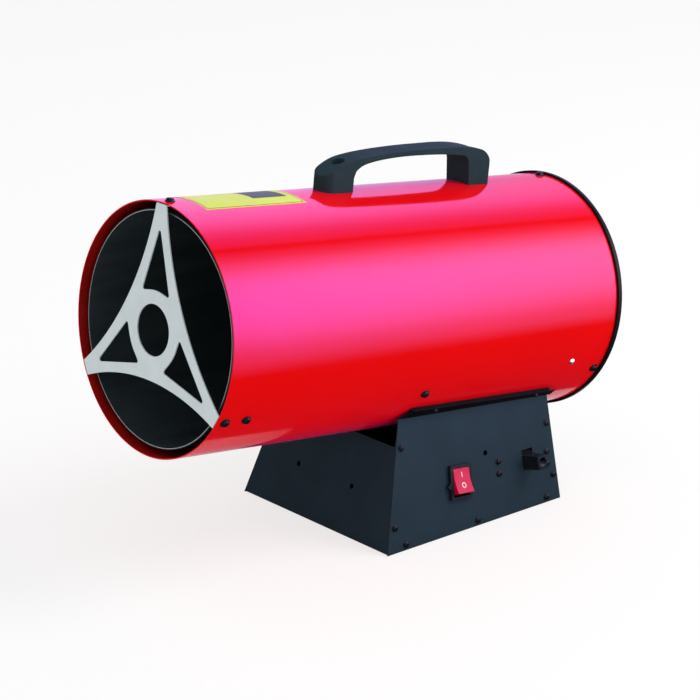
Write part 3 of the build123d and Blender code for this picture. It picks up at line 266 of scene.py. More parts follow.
def red_enamel():
    """Glossy red enamel with a violet pearl in its gloss and a faint orange peel."""
    finish, tree, shader, places = new_finish("red_enamel")
    shader.inputs["IOR"].default_value = 1.5
    shader.inputs["Specular IOR Level"].default_value = 0.2
    shader.inputs["Specular Tint"].default_value = (0.24, 0.10, 1.0, 1)
    shader.inputs["Sheen Weight"].default_value = 0.12
    shader.inputs["Sheen Roughness"].default_value = 0.3
    shader.inputs["Sheen Tint"].default_value = (0.55, 0.05, 1.0, 1)
    clouds = add_noise(tree, places, 7)
    vary_colour(tree, shader, clouds, (0.725, 0.0022, 0.001), (0.76, 0.0026, 0.0012))
    vary_roughness(tree, shader, add_noise(tree, places, 24), 0.085, 0.11)
    add_bump(tree, shader, add_noise(tree, places, 420, 2), 0.00001, 0.5)
    return finish


def black_powder():
    """Satin blue-black powder coat, finely pebbled."""
    finish, tree, shader, places = new_finish("black_powder")
    shader.inputs["Specular IOR Level"].default_value = 0.016
    shader.inputs["Specular Tint"].default_value = (0.45, 0.85, 1.0, 1)
    clouds = add_noise(tree, places, 30)
    vary_colour(tree, shader, clouds, (0.0137, 0.0262, 0.0362), (0.0162, 0.0304, 0.0424))
    vary_roughness(tree, shader, add_noise(tree, places, 90), 0.34, 0.42)
    add_bump(tree, shader, add_noise(tree, places, 1500, 2), 0.00004, 0.35)
    return finish


def guard_steel():
    """Pressed steel with a light silver satin finish."""
    finish, tree, shader, places = new_finish("guard_steel")
    shader.inputs["Metallic"].default_value = 0.12
    shader.inputs["Specular IOR Level"].default_value = 0.2
    clouds = add_noise(tree, places, 60)
    vary_colour(tree, shader, clouds, (0.60, 0.675, 0.69), (0.645, 0.72, 0.735))
    vary_roughness(tree, shader, add_noise(tree, places, 220), 0.32, 0.45)
    add_bump(tree, shader, add_noise(tree, places, 900, 2), 0.00003, 0.3)
    return finish


def flame_steel():
    """Heat-darkened steel, streaked along its length, its colour taken down to near black as
    painted shade for the unlit inside of the tube.
    """
    finish, tree, shader, places = new_finish("flame_steel")
    shader.inputs["Specular IOR Level"].default_value = 0.1
    streaks = add_noise(tree, stretched(tree, places, (60, 9, 60)), 1.0, 4)
    vary_colour(tree, shader, streaks, (0.014, 0.024, 0.026), (0.026, 0.040, 0.042))
    vary_roughness(tree, shader, add_noise(tree, places, 140), 0.5, 0.7)
    add_bump(tree, shader, add_noise(tree, places, 700, 2), 0.00004, 0.3)
    return finish


def plated(name, low, high, rough=(0.25, 0.4), metallic=1.0, gloss=0.5):
    """Bare, plated or cast metal with cloudy variation and a fine grain."""
    grain = 300
    finish, tree, shader, places = new_finish(name)
    shader.inputs["Metallic"].default_value = metallic
    shader.inputs["Specular IOR Level"].default_value = gloss
    vary_colour(tree, shader, add_noise(tree, places, 80), low, high)
    vary_roughness(tree, shader, add_noise(tree, places, grain), *rough)
    add_bump(tree, shader, add_noise(tree, places, grain * 5, 2), 0.00003, 0.3)
    return finish


def moulded(name, low, high, rough=(0.35, 0.45), grain=2200, depth=0.00005, gloss=0.5):
    """Moulded plastic with a fine spark-eroded grain."""
    finish, tree, shader, places = new_finish(name)
    shader.inputs["Specular IOR Level"].default_value = gloss
    vary_colour(tree, shader, add_noise(tree, places, 40), low, high)
    vary_roughness(tree, shader, add_noise(tree, places, 200), *rough)
    add_bump(tree, shader, add_noise(tree, places, grain, 2), depth, 0.3)
    return finish


def laminations():
    """Stack of thin steel plates, lying square across the tube."""
    finish, tree, shader, places = new_finish("laminations")
    shader.inputs["Metallic"].default_value = 0.9
    mapping = tree.nodes.new("ShaderNodeMapping")
    mapping.inputs["Rotation"].default_value = (tube_tilt, 0, 0)
    tree.links.new(places, mapping.inputs["Vector"])
    plates = tree.nodes.new("ShaderNodeTexWave")
    plates.bands_direction = "Y"
    plates.inputs["Scale"].default_value = 320
    plates.inputs["Distortion"].default_value = 0.4
    tree.links.new(mapping.outputs["Vector"], plates.inputs["Vector"])
    vary_colour(tree, shader, plates.outputs["Fac"], (0.10, 0.105, 0.115), (0.24, 0.25, 0.27))
    vary_roughness(tree, shader, add_noise(tree, places, 200), 0.4, 0.55)
    add_bump(tree, shader, plates.outputs["Fac"], 0.0001, 0.5)
    return finish


def winding():
    """Varnished copper wire wound round the stack's leg."""
    finish, tree, shader, places = new_finish("winding")
    shader.inputs["Coat Weight"].default_value = 0.5
    shader.inputs["Metallic"].default_value = 0.4
    turns = tree.nodes.new("ShaderNodeTexWave")
    turns.bands_direction = "Z"
    turns.inputs["Scale"].default_value = 260
    turns.inputs["Distortion"].default_value = 0.8
    turns.inputs["Detail"].default_value = 1
    tree.links.new(places, turns.inputs["Vector"])
    vary_colour(tree, shader, turns.outputs["Fac"], (0.22, 0.06, 0.012), (0.62, 0.24, 0.07))
    vary_roughness(tree, shader, add_noise(tree, places, 300), 0.25, 0.4)
    add_bump(tree, shader, turns.outputs["Fac"], 0.0002, 0.6)
    return finish


def sleeving(name, low, high):
    """Woven or extruded insulation on a lead."""
    finish, tree, shader, places = new_finish(name)
    weave = tree.nodes.new("ShaderNodeTexVoronoi")
    weave.inputs["Scale"].default_value = 900
    tree.links.new(places, weave.inputs["Vector"])
    vary_colour(tree, shader, add_noise(tree, places, 120), low, high)
    vary_roughness(tree, shader, add_noise(tree, places, 300), 0.5, 0.7)
    add_bump(tree, shader, weave.outputs["Distance"], 0.0001, 0.4)
    return finish


def rocker_plastic():
    """Clear red moulding, glossy."""
    finish, tree, shader, places = new_finish("rocker_plastic")
    shader.inputs["Specular IOR Level"].default_value = 0.055
    shader.inputs["Specular Tint"].default_value = (1.0, 0.5, 1.0, 1)
    shader.inputs["Subsurface Weight"].default_value = 0.15
    shader.inputs["Subsurface Radius"].default_value = (0.004, 0.001, 0.001)
    clouds = add_noise(tree, places, 150)
    vary_colour(tree, shader, clouds, (0.44, 0.004, 0.030), (0.50, 0.006, 0.038))
    vary_roughness(tree, shader, add_noise(tree, places, 300), 0.12, 0.2)
    add_bump(tree, shader, add_noise(tree, places, 900, 2), 0.00002, 0.2)
    return finish


finishes = {
    "red_paint": red_enamel(),
    "base_powder": black_powder(),
    "guard_steel": guard_steel(),
    "flame_steel": flame_steel(),
    "zinc": plated("zinc_plate", (0.58, 0.60, 0.62), (0.72, 0.73, 0.74)),
    "black_plastic": moulded(
        "handle_plastic", (0.018, 0.036, 0.044), (0.023, 0.043, 0.052), (0.46, 0.54), gloss=0.002
    ),
    "button_plastic": moulded(
        "button_plastic", (0.014, 0.014, 0.016), (0.02, 0.02, 0.022), (0.25, 0.35)
    ),
    "rocker_red": rocker_plastic(),
    "black_screws": moulded(
        "black_zinc",
        (0.004, 0.006, 0.008),
        (0.007, 0.010, 0.013),
        (0.16, 0.24),
        grain=1200,
        depth=0.00002,
        gloss=0.045,
    ),
    "black_paint": moulded(
        "black_paint",
        (0.004, 0.0045, 0.005),
        (0.007, 0.0075, 0.008),
        (0.25, 0.34),
        grain=1200,
        gloss=0.025,
    ),
    "fan_aluminium": plated("fan_aluminium", (0.62, 0.63, 0.64), (0.74, 0.75, 0.76), (0.3, 0.45)),
    "lamination_steel": laminations(),
    "bearing_casting": plated(
        "bearing_casting", (0.42, 0.43, 0.44), (0.55, 0.56, 0.57), (0.4, 0.55)
    ),
    "shaft_steel": plated("ground_steel", (0.62, 0.62, 0.63), (0.70, 0.70, 0.71), (0.15, 0.22)),
    "coil_wrap": winding(),
    "brass": plated("brass", (0.55, 0.36, 0.11), (0.66, 0.45, 0.16), (0.2, 0.32)),
    "inlet_metal": plated(
        "inlet_black",
        (0.006, 0.010, 0.013),
        (0.010, 0.015, 0.019),
        (0.25, 0.38),
        metallic=0.0,
        gloss=0.02,
    ),
    # Near black with almost no gloss, as painted shade: the valve is made as dark as the shaded
    # opening it sits behind.
    "valve_casting": moulded(
        "valve_casting",
        (0.004, 0.0045, 0.005),
        (0.007, 0.008, 0.009),
        (0.5, 0.65),
        grain=700,
        gloss=0.006,
    ),
    "pipe_aluminium": plated(
        "drawn_aluminium", (0.60, 0.61, 0.62), (0.70, 0.71, 0.72), (0.25, 0.38)
    ),
    "ceramic": moulded(
        "glazed_ceramic", (0.76, 0.74, 0.68), (0.82, 0.80, 0.75), (0.12, 0.2), grain=900
    ),
    "probe_steel": plated("heat_tinted_steel", (0.30, 0.22, 0.16), (0.45, 0.38, 0.32), (0.3, 0.45)),
    "lead_insulation": sleeving("lead_sleeving", (0.016, 0.016, 0.017), (0.03, 0.03, 0.032)),
    "strip_rubber": moulded(
        "strip_rubber", (0.004, 0.004, 0.0045), (0.006, 0.006, 0.007), (0.6, 0.75), gloss=0.01
    ),
    "block_nylon": moulded("natural_nylon", (0.62, 0.60, 0.53), (0.70, 0.68, 0.61), (0.4, 0.5)),
}


def sticker_film(name, low, high):
    """Thin printed film with a faint gloss."""
    finish, tree, shader, places = new_finish(name)
    shader.inputs["Specular IOR Level"].default_value = 0.05
    vary_colour(tree, shader, add_noise(tree, places, 40), low, high)
    vary_roughness(tree, shader, add_noise(tree, places, 120), 0.28, 0.36)
    return finish


def printed_ink(name, low, high):
    """Flat ink on a film or a moulding."""
    finish, tree, shader, places = new_finish(name)
    shader.inputs["Specular IOR Level"].default_value = 0.006
    vary_colour(tree, shader, add_noise(tree, places, 300), low, high)
    vary_roughness(tree, shader, add_noise(tree, places, 200), 0.3, 0.4)
    return finish


# ---- Making pieces ----------------------------------------------------------------------


def mesh_from(name, bm):
    """Mesh with the bmesh's shape; the bmesh is used up."""
    mesh = bpy.data.meshes.new(name)
    bm.to_mesh(mesh)
    bm.free()
    return mesh


def put_in_scene(name, data):
    thing = bpy.data.objects.new(name, data)
    bpy.context.scene.collection.objects.link(thing)
    return thing


def finish_piece(name, bm, body, stands_for, finish, sharp=32):
    """Makes the object from the bmesh, smooth where its faces meet gently."""
    mesh = mesh_from(name, bm)
    mesh.shade_smooth()
    mesh.set_sharp_from_angle(angle=radians(sharp))
    mesh.materials.append(finish)
    piece = put_in_scene(name, mesh)
    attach(piece, body)
    if stands_for:
        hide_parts(*stands_for)
    return piece


def refined(node, edge, reshape=None):
    """Copy of a CAD node, its flat faces whole and its sharp edges rounded."""
    same_plane, crease = radians(0.6), radians(34)
    bm = bmesh.new()
    bm.from_mesh(nodes[node].data)
    bmesh.ops.remove_doubles(bm, verts=bm.verts, dist=join_within_cad)
    bmesh.ops.dissolve_limit(
        bm, angle_limit=same_plane, verts=bm.verts, edges=bm.edges, delimit={"NORMAL"}
    )
    if reshape:
        reshape(bm)
    if edge:
        corners = [
            e for e in bm.edges if len(e.link_faces) == 2 and e.calc_face_angle() > crease
        ]
        bmesh.ops.bevel(
            bm,
            geom=corners,
            offset=edge,
            offset_type="OFFSET",
            segments=2,
            profile=0.5,
            affect="EDGES",
            clamp_overlap=True,
            material=-1,
        )
    slot = slot_of[node]
    body = nodes[node]["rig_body"]
    piece = finish_piece(node + "_piece", bm, body, [node], finishes[slot])
    level = piece.modifiers.new("flat_faces", "WEIGHTED_NORMAL")
    level.keep_sharp = True
    level.weight = 100


def clean(bm):
    """Joins the vertices that meet and turns the faces outwards."""
    bmesh.ops.remove_doubles(bm, verts=bm.verts, dist=join_within)
    bmesh.ops.recalc_face_normals(bm, faces=bm.faces)


def spin_line(bm, line, axis, steps, angle=2 * pi, closed=False):
    """Turns a line of vertices round an axis through the origin."""
    ends = line[1:] + line[:1] if closed else line[1:]
    edges = [bm.edges.new(pair) for pair in zip(line, ends)]
    bmesh.ops.spin(
        bm,
        geom=line + edges,
        cent=(0, 0, 0),
        axis=axis,
        angle=angle,
        steps=steps,
        use_merge=angle == 2 * pi,
    )


def turned(profile, steps):
    """Closed profile of (radius, along) points turned round the local Y axis."""
    bm = bmesh.new()
    ring = [bm.verts.new((radius, along, 0)) for radius, along in profile]
    spin_line(bm, ring, (0, 1, 0), steps, closed=True)
    clean(bm)
    return bm


def turned_on_tube(profile):
    """The same, standing in the tube's frame."""
    bm = turned(profile, around)
    bmesh.ops.transform(bm, matrix=tube, verts=bm.verts)
    return bm


def curved_sheet(bm, radius, front, rear, low, high, steps):
    """Sheet bent round the local Y axis, between two angles above level, in degrees."""
    start = Matrix.Rotation(radians(-low), 4, "Y")
    side = [bm.verts.new(start @ Vector((radius, along, 0))) for along in (front, rear)]
    spin_line(bm, side, (0, -1, 0), steps, radians(high - low))


def rounded_wall(outer, inner, front, rear, edge):
    """Profile of a tube's wall with its four edges eased."""
    return [
        (outer, front + edge),
        (outer - edge, front),
        (inner + edge, front),
        (inner, front + edge),
        (inner, rear - edge),
        (inner + edge, rear),
        (outer - edge, rear),
        (outer, rear - edge),
    ]


def place_copies(master, seats):
    """One bmesh with the master's mesh at every seat."""
    whole = bmesh.new()
    for seat in seats:
        start = len(whole.verts)
        whole.from_mesh(master)
        whole.verts.ensure_lookup_table()
        bmesh.ops.transform(whole, matrix=seat, verts=whole.verts[start:])
    return whole


def cross_recess_screw(sizes):
    """Pan-head screw with a flange and a cross recess, its head above the XY plane."""
    head, shank, length = sizes[0] / 2, sizes[1] / 2, sizes[2]
    height = 0.68 * head
    crown = 0.44 * head
    profile = [
        (crown, height),
        (0.60 * head, 0.95 * height),
        (0.72 * head, 0.82 * height),
        (0.80 * head, 0.60 * height),
        (0.83 * head, 0.30 * height),
        (0.97 * head, 0.24 * height),
        (head, 0.14 * height),
        (head, 0.0),
        (shank, 0.0),
        (shank, -length + shank * 0.3),
        (shank * 0.7, -length),
        (0.0, -length),
    ]
    bm = bmesh.new()
    line = [bm.verts.new((radius, 0, up)) for radius, up in profile]
    spin_line(bm, line, (0, 0, 1), around_screw)
    bmesh.ops.remove_doubles(bm, verts=bm.verts, dist=join_within)
    rim = [e for e in bm.edges if e.is_boundary]
    arm, reach, depth = 0.085 * head, 0.36 * head, 0.55 * height
    corner = [(reach, -arm), (reach, arm), (arm, arm)]
    outline = []
    for quarter in range(4):
        turn = Matrix.Rotation(quarter * pi / 2, 3, "Z")
        outline += [bm.verts.new(turn @ Vector((x, y, height))) for x, y in corner]
    cross = [bm.edges.new((a, b)) for a, b in zip(outline, outline[1:] + outline[:1])]
    bmesh.ops.triangle_fill(bm, use_beauty=True, edges=rim + cross)
    sunk = bmesh.ops.extrude_edge_only(bm, edges=cross)["geom"]
    bottom = [v for v in sunk if isinstance(v, bmesh.types.BMVert)]
    taper = Matrix.Diagonal((0.55, 0.55, 1, 1))
    bmesh.ops.transform(bm, matrix=Matrix.Translation((0, 0, -depth)) @ taper, verts=bottom)
    bmesh.ops.contextual_create(bm, geom=[e for e in sunk if isinstance(e, bmesh.types.BMEdge)])
    bmesh.ops.recalc_face_normals(bm, faces=bm.faces)
    return mesh_from("screw_master", bm)


def screws(node, sizes, seats):
    """Replaces a CAD node of screws, each turned a little differently."""
    first_turn, next_turn = 17, 67
    turned_seats = [
        seat @ Matrix.Rotation(radians(first_turn + next_turn * number), 4, "Z")
        for number, seat in enumerate(seats)
    ]
    bm = place_copies(cross_recess_screw(sizes), turned_seats)
    slot = slot_of[node]
    finish_piece(node + "_set", bm, nodes[node]["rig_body"], [node], finishes[slot], 28)


slot_of = {entry["node"]: entry["material_slot"] for entry in frame["record"]["subparts"]}

for name, node in nodes.items():
    node.data.materials.clear()
    node.data.materials.append(finishes[slot_of[name]])

# ---- Tube and grille --------------------------------------------------------------------

shell_edge = 0.00025
tube_skin = turned_on_tube(
    rounded_wall(shell_radius, shell_radius - shell_wall, 0, shell_length, shell_edge)
)
tube_piece = finish_piece(
    "tube_skin", tube_skin, "housing", ["outer_shell"], finishes["red_paint"]
)


def two_finishes(piece, second, chosen):
    """Gives the second finish to the faces whose middle, in the tube's frame, is chosen."""
    piece.data.materials.append(second)
    to_tube = tube.inverted()
    for face in piece.data.polygons:
        middle = to_tube @ face.center
        if chosen(Vector((middle.x, middle.z)).length, middle.y):
            face.material_index = 1


# The tube's inner faces get a darker, rougher red than its outside.
darker_inside_red = moulded(
    "darker_inside_red", (0.24, 0.003, 0.0012), (0.33, 0.005, 0.002), (0.4, 0.55), grain=600, gloss=0.1
)
inside = shell_radius - 0.9 * shell_wall
two_finishes(tube_piece, darker_inside_red, lambda radius, behind: radius < inside)

bead = flame_radius + flame_bead
flame_edge, bare_inset = 0.0003, 0.0002
bare_radius = flame_radius - bare_inset     # the front edge is bare metal within this
flame_skin = turned_on_tube(
    [
        (bead, flame_front + flame_edge),
        (bead - flame_edge, flame_front),
        (bare_radius, flame_front),
        (flame_radius - flame_wall + bare_inset, flame_front),
        (flame_radius - flame_wall, flame_front + flame_edge),
        (flame_radius - flame_wall, flame_rear),
        (flame_radius, flame_rear),
        (flame_radius, flame_front + flame_bead_width + flame_edge),
        (bead, flame_front + flame_bead_width),
    ]
)
# The flame tube's near-black finish is partly heat-darkening and partly painted shade; its front
# edge keeps a lighter bare metal.
flame_piece = finish_piece(
    "flame_skin", flame_skin, "housing", ["combustion_tube"], finishes["flame_steel"]
)
bare_edge = plated("bare_edge", (0.38, 0.42, 0.41), (0.52, 0.56, 0.55), (0.25, 0.35), 0.7)
two_finishes(
    flame_piece,
    bare_edge,
    lambda radius, behind: radius < bare_radius and behind < flame_front + seat_gap,
)

skirt = shell_radius - shell_wall - seat_gap
ring_front = shell_length + seat_gap
ring_rear = shell_length + grille_flange_width
ring_inside = skirt - grille_wall
ring_edge, ring_round, ring_lip_edge = 0.0004, 0.0012, 0.0003
ring_bulge = 0.00035                    # how far the rounding's middle lies in from the corner
ring_skin = turned_on_tube(
    [
        (skirt, shell_length - grille_skirt),
        (skirt, ring_front),
        (grille_flange - ring_edge, ring_front),
        (grille_flange, ring_front + ring_edge),
        (grille_flange, ring_rear - ring_round),
        (grille_flange - ring_bulge, ring_rear - ring_bulge),
        (grille_flange - ring_round, ring_rear),
        (grille_opening + ring_lip_edge, ring_rear),
        (grille_opening, ring_rear - ring_lip_edge),
        (grille_opening, ring_rear - grille_lip),
        (ring_inside, ring_rear - grille_lip),
        (ring_inside, shell_length - grille_skirt),
    ]
)
black_paint = finishes["black_paint"]
finish_piece("grille_ring_skin", ring_skin, "housing", ["grille_ring"], black_paint)

wire_at = ring_rear - grille_lip - wire / 2 - seat_gap
wire_sides, hoop_steps = 12, 96
grille = bmesh.new()
for radius in wire_rings:
    section = []
    for number in range(wire_sides):
        angle = radians(number * 360 / wire_sides)
        section.append((radius + wire / 2 * cos(angle), wire_at + wire / 2 * sin(angle)))
    grille.from_mesh(mesh_from("hoop", turned(section, hoop_steps)))
spoke_length = ring_inside - seat_gap
spoke_at = wire_at - wire * 0.6
for number in range(wire_spokes):
    seat = tube_seat(spoke_at, 30 + number * 360 / wire_spokes, spoke_length / 2)
    bmesh.ops.create_cone(
        grille,
        cap_ends=True,
        segments=14,
        radius1=wire / 2,
        radius2=wire / 2,
        depth=spoke_length,
        matrix=tube.inverted() @ seat,
    )
bmesh.ops.transform(grille, matrix=tube, verts=grille.verts)
finish_piece("grille_wire_set", grille, "housing", ["grille_wires"], black_paint)

# ---- Screws and rivets ------------------------------------------------------------------

on_tube = shell_radius + seat_gap
screws("guard_screws", tube_screw, [tube_seat(guard_screw_at, a, on_tube) for a in arm_angles])
clip_seats = [tube_seat(at, a, on_tube) for a in clip_angles for at in clip_screws_at]
screws("spacer_screws", tube_screw, clip_seats)
grille_seats = [tube_seat(grille_screw_at, a, on_tube) for a in grille_angles]
screws("grille_screws", grille_screw, grille_seats)
handle_seats = [tube_seat(at, 90, on_tube + handle_sole) for at in handle_screws_at]
screws("handle_screws", handle_screw, handle_seats)

# Screws of the side panels: along and up the panel, by its front, rear and lower edge
lap_spots = list(lap_front)
lap_spots += [(base_length - lap_inset, up) for up in lap_rear_up]
lap_spots += [(along, lap_inset) for along in lap_low_along]
screws(
    "panel_screws",
    panel_screw,
    [panel_seat(along, up, side=side) for side in (1, -1) for along, up in lap_spots],
)
screws(
    "valve_screws",
    valve_screw,
    [
        panel_seat(*valve_at)
        @ Matrix.Rotation(valve_turn, 4, "Z")
        @ Matrix.Translation((x * valve_grid[0] / 2, y * valve_grid[1] / 2, 0))
        for x in (-1, 1)
        for y in (-1, 1)
    ],
)
saddle_seats = []
for side in (1, -1):
    angle = saddle_angle if side > 0 else 180 - saddle_angle
    for at in saddle_screws_at:
        saddle_seats.append(tube_seat(at, angle, saddle_screw_radius, -side * saddle_screw_rise))
screws("saddle_screws", saddle_screw, saddle_seats)

# Rivet: a low dome on a shank; its outline is in shares of the head's radius and width
head, shank, length = rivet[0] / 2, rivet[1] / 2, rivet[2]
outline = [(0, 0.34), (0.3, 0.325), (0.6, 0.26), (0.84, 0.15), (0.97, 0.05), (1.0, 0.0)]
profile = [(share * head, up * rivet[0]) for share, up in outline]
profile += [(shank, 0), (shank, -length), (0, -length)]
dome = bmesh.new()
line = [dome.verts.new((radius, 0, up)) for radius, up in profile]
spin_line(dome, line, (0, 0, 1), around_screw)
clean(dome)
rivet_seats = [tube_seat(rivet_at, a, on_tube) for a in (rivet_angle, 180 - rivet_angle)]
rivets = place_copies(mesh_from("rivet_master", dome), rivet_seats)
finish_piece("rivet_set", rivets, "housing", ["bracket_rivets"], finishes["zinc"])

# ---- Pieces taken from the CAD, with their edges rounded ----------------------------------

edges_rounded = {
    "outlet_guard": 0.00022,
    "tube_spacers": 0.0002,
    "handle": 0.0011,
    "base_tray": 0.0002,
    "control_panel": 0.0002,
    "plain_panel": 0.0002,
    "switch_housing": 0.0003,
    "switch_rocker": 0.0003,
    "gas_inlet": 0.0002,
    "gas_valve": 0.0004,
    "valve_button": 0.0003,
    "igniter_body": 0.0003,
    "igniter_button": 0.0003,
    "cable_gland": 0.0003,
    "terminal_block": 0.0003,
    "fan": 0.0002,
    "fan_nut": 0.0002,
    "motor_bracket": 0.0002,
    "motor_coil": 0.0,
    "front_bearing": 0.0003,
    "rear_bearing": 0.0003,
    "rotor": 0.0003,
    "motor_shaft": 0.0,
    "burner_baffle": 0.0002,
    "burner_head": 0.0003,
    "gas_nozzle": 0.0002,
    "spark_electrode": 0.0,
    "flame_probe": 0.0,
    "gas_pipe": 0.0,
    "ignition_lead": 0.0,
    "motor_lead": 0.0,
    "probe_lead": 0.0,
    "saddle_pads": 0.0002,
}


def bow_windows(bm):
    """Bows the inner edge of each window in the guard outwards, round the ring."""
    to_tube = tube.inverted()

    def from_arm(vert):
        place = to_tube @ vert.co
        angle = degrees(atan2(place.z, place.x)) % 360
        arm = min(arm_angles, key=lambda a: abs(a - angle))
        return Vector((place.x, place.z)).length, angle - arm

    def on_inner_edge(vert):
        radius, off = from_arm(vert)
        return window_foot[0] < radius < window_foot[1] and abs(off) < window_half

    shortest = 0.004
    rims = [
        e
        for e in bm.edges
        if all(on_inner_edge(v) for v in e.verts) and e.calc_length() > shortest
    ]
    bmesh.ops.subdivide_edges(bm, edges=rims, cuts=6)
    for vert in [v for v in bm.verts if on_inner_edge(v)]:
        off = from_arm(vert)[1]
        place = to_tube @ vert.co
        out = Vector((place.x, 0, place.z)).normalized()
        vert.co = tube @ (place + out * window_bow * (1 - (off / window_half) ** 2))


def round_nose(bm):
    """Draws the handle's front end back and in a little."""
    to_tube = tube.inverted()
    for vert in bm.verts:
        place = to_tube @ vert.co
        share = min(max((nose_rear - place.y) / (nose_rear - nose_front), 0), 1)
        place.y += nose_back * share
        place.x *= 1 - nose_in * share
        vert.co = tube @ place


reshaped = {"outlet_guard": bow_windows, "handle": round_nose}
for node, edge in edges_rounded.items():
    refined(node, edge, reshaped.get(node))

switch_plastic = moulded(
    "switch_plastic", (0.006, 0.009, 0.012), (0.009, 0.013, 0.016), (0.3, 0.4), gloss=0.03
)
bpy.data.objects["switch_housing_piece"].data.materials[0] = switch_plastic
# Painted shade: the saddle flanges of both side panels get a darker, duller copy of the powder coat
# than the rest of the sheet.
flange_painted_shade = moulded(
    "flange_painted_shade", (0.004, 0.0045, 0.005), (0.006, 0.007, 0.008), (0.5, 0.6), gloss=0.006
)
for panel in ("control_panel", "plain_panel"):
    panel_piece = bpy.data.objects[panel + "_piece"]
    two_finishes(panel_piece, flange_painted_shade, lambda radius, behind: radius < flange_reach)

# The thread in the gas inlet's bore
thread_profile = []
for number in range(inlet_threads):
    thread_profile += [
        (inlet_bore - thread_root, -number * inlet_pitch),
        (inlet_bore - thread_crest, -(number + 0.5) * inlet_pitch),
    ]
thread_profile += [(inlet_bore, -inlet_threads * inlet_pitch), (inlet_bore, 0.0)]
thread = turned(thread_profile, 48)
thread_lie = Matrix.Rotation(pi / 2, 4, "X")    # its Y out of the inlet's mouth
inlet_mouth = panel_seat(*inlet_at, out=inlet_reach - thread_sunk)
bmesh.ops.transform(thread, matrix=inlet_mouth @ thread_lie, verts=thread.verts)
thread_metal = plated("thread_metal", (0.004, 0.006, 0.007), (0.007, 0.009, 0.010), (0.2, 0.3))
finish_piece("inlet_thread", thread, nodes["gas_inlet"]["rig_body"], [], thread_metal, 20)

# ---- Sticker ----------------------------------------------------------------------------


def curved_patch(bm, front, rear, low, high, height):
    """Patch lying on the tube between two angles, this high above the paint."""
    steps = max(2, int((high - low) * 1.5))
    curved_sheet(bm, shell_radius + height, front, rear, low, high, steps)


# Patches of the sticker: front and rear edge, then the angles of its sides
for name, patch, height, tints in (
    ("sticker", (0.027, 0.133, 76, 104), film_height, ((0.76, 0.60, 0.045), (0.82, 0.65, 0.055))),
    (
        "sticker_field",
        (0.029, 0.131, 77.2, 102.8),
        field_height,
        ((0.51, 0.64, 0.014), (0.555, 0.70, 0.0185)),
    ),
):
    film = bmesh.new()
    curved_patch(film, *patch, height)
    bmesh.ops.transform(film, matrix=tube, verts=film.verts)
    bmesh.ops.recalc_face_normals(film, faces=film.faces)
    finish_piece(name, film, "housing", [], sticker_film(name + "_film", *tints))

ink = bmesh.new()
for patch in (
    (0.0285, 0.0293, 77, 103),
    (0.1307, 0.1315, 77, 103),
    (0.0293, 0.1307, 77, 77.4),
    (0.0293, 0.1307, 102.6, 103),
    (0.088, 0.1245, 85, 101),
):
    curved_patch(ink, *patch, ink_height)
bmesh.ops.transform(ink, matrix=tube, verts=ink.verts)
grey_ink = printed_ink("grey_ink", (0.070, 0.105, 0.112), (0.085, 0.125, 0.132))
finish_piece("sticker_print", ink, "housing", [], grey_ink)

# ---- Marks on the rocker ------------------------------------------------------------------

facet_slope = atan2(rocker_tip - rocker_dip, rocker_half)
# X up the panel, Y out of it and Z rearward, tipped as the rocker is
rocker_frame = (
    panel_seat(*switch_at)
    @ Matrix.Rotation(switch_turn, 4, "Z")
    @ Matrix(((0, 0, 1, 0), (1, 0, 0, 0), (0, 1, 0, 0), (0, 0, 0, 1)))
    @ Matrix.Rotation(-rocker_tilt, 4, "Z")
)


def on_facet(side, reach):
    """Frame on one half of the rocker, this far from the middle: Z out of it, Y endwards."""
    middle = Matrix.Translation((0, rocker_dip, 0))
    slope = Matrix.Rotation(side * facet_slope, 4, "Z")
    place = Matrix.Translation((side * reach, rocker_ink_height, 0))
    lie = Matrix(((0, 1, 0, 0), (0, 0, 1, 0), (1, 0, 0, 0), (0, 0, 0, 1)))
    return rocker_frame @ middle @ slope @ place @ lie


marks = bmesh.new()
bar = bmesh.ops.create_grid(marks, x_segments=1, y_segments=4, size=0.5)["verts"]
bar_size = Matrix.Diagonal((bar_width, bar_length, 1, 1))
bmesh.ops.transform(marks, matrix=on_facet(1, bar_at) @ bar_size, verts=bar)
start = len(marks.verts)
nought = [marks.verts.new((radius, 0, 0)) for radius in (nought_inner, nought_outer)]
spin_line(marks, nought, (0, 0, 1), 36)
marks.verts.ensure_lookup_table()
oval = Matrix.Diagonal((*nought_stretch, 1, 1))
bmesh.ops.transform(marks, matrix=on_facet(-1, nought_at) @ oval, verts=marks.verts[start:])
clean(marks)
white_ink = printed_ink("white_ink", (0.80, 0.79, 0.77), (0.86, 0.85, 0.83))
finish_piece("rocker_marks", marks, "rocker", [], white_ink)

# ---- Floor, light and camera --------------------------------------------------------------

floor_size = 20
floor_albedo = 0.92
floor_glow = 0.72           # share of plain white in what the camera sees of the floor
world_light = 0.77

card_radius, card_middle = 0.6, 0.2     # the cards bend round a level line at this height
card_low, card_fold, card_high = -30, 128, 178
card_front, card_top_front, card_rear = -1.3, -0.1, 1.4
card_peak = 42.0
# How bright the cards are by their angle round that line, in degrees above level
card_steps = (
    (-30, 0.09), (-24, 0.14), (-13, 0.29), (-7.5, 0.45), (-2, 0.60), (9, 0.87),
    (21, 0.97), (33, 0.99), (45, 0.82), (57, 0.38), (66, 0.13), (72, 0.06),
    (76.5, 0.0), (80, 0.07), (88, 0.12), (95, 0.17), (102, 0.235), (110, 0.265),
    (117, 0.255), (124, 0.22), (134, 0.175), (146, 0.12), (158, 0.08), (178, 0.057),
)
# Their colour by the same angle: a violet cast over the top
card_casts = (
    (-30, (1, 0.78, 1)), (62, (1, 0.70, 1)), (86, (0.6, 0.3, 1.0)),
    (121, (0.6, 0.35, 1.0)), (150, (0.70, 0.42, 1.0)), (178, (0.8, 0.5, 1.0)),
)
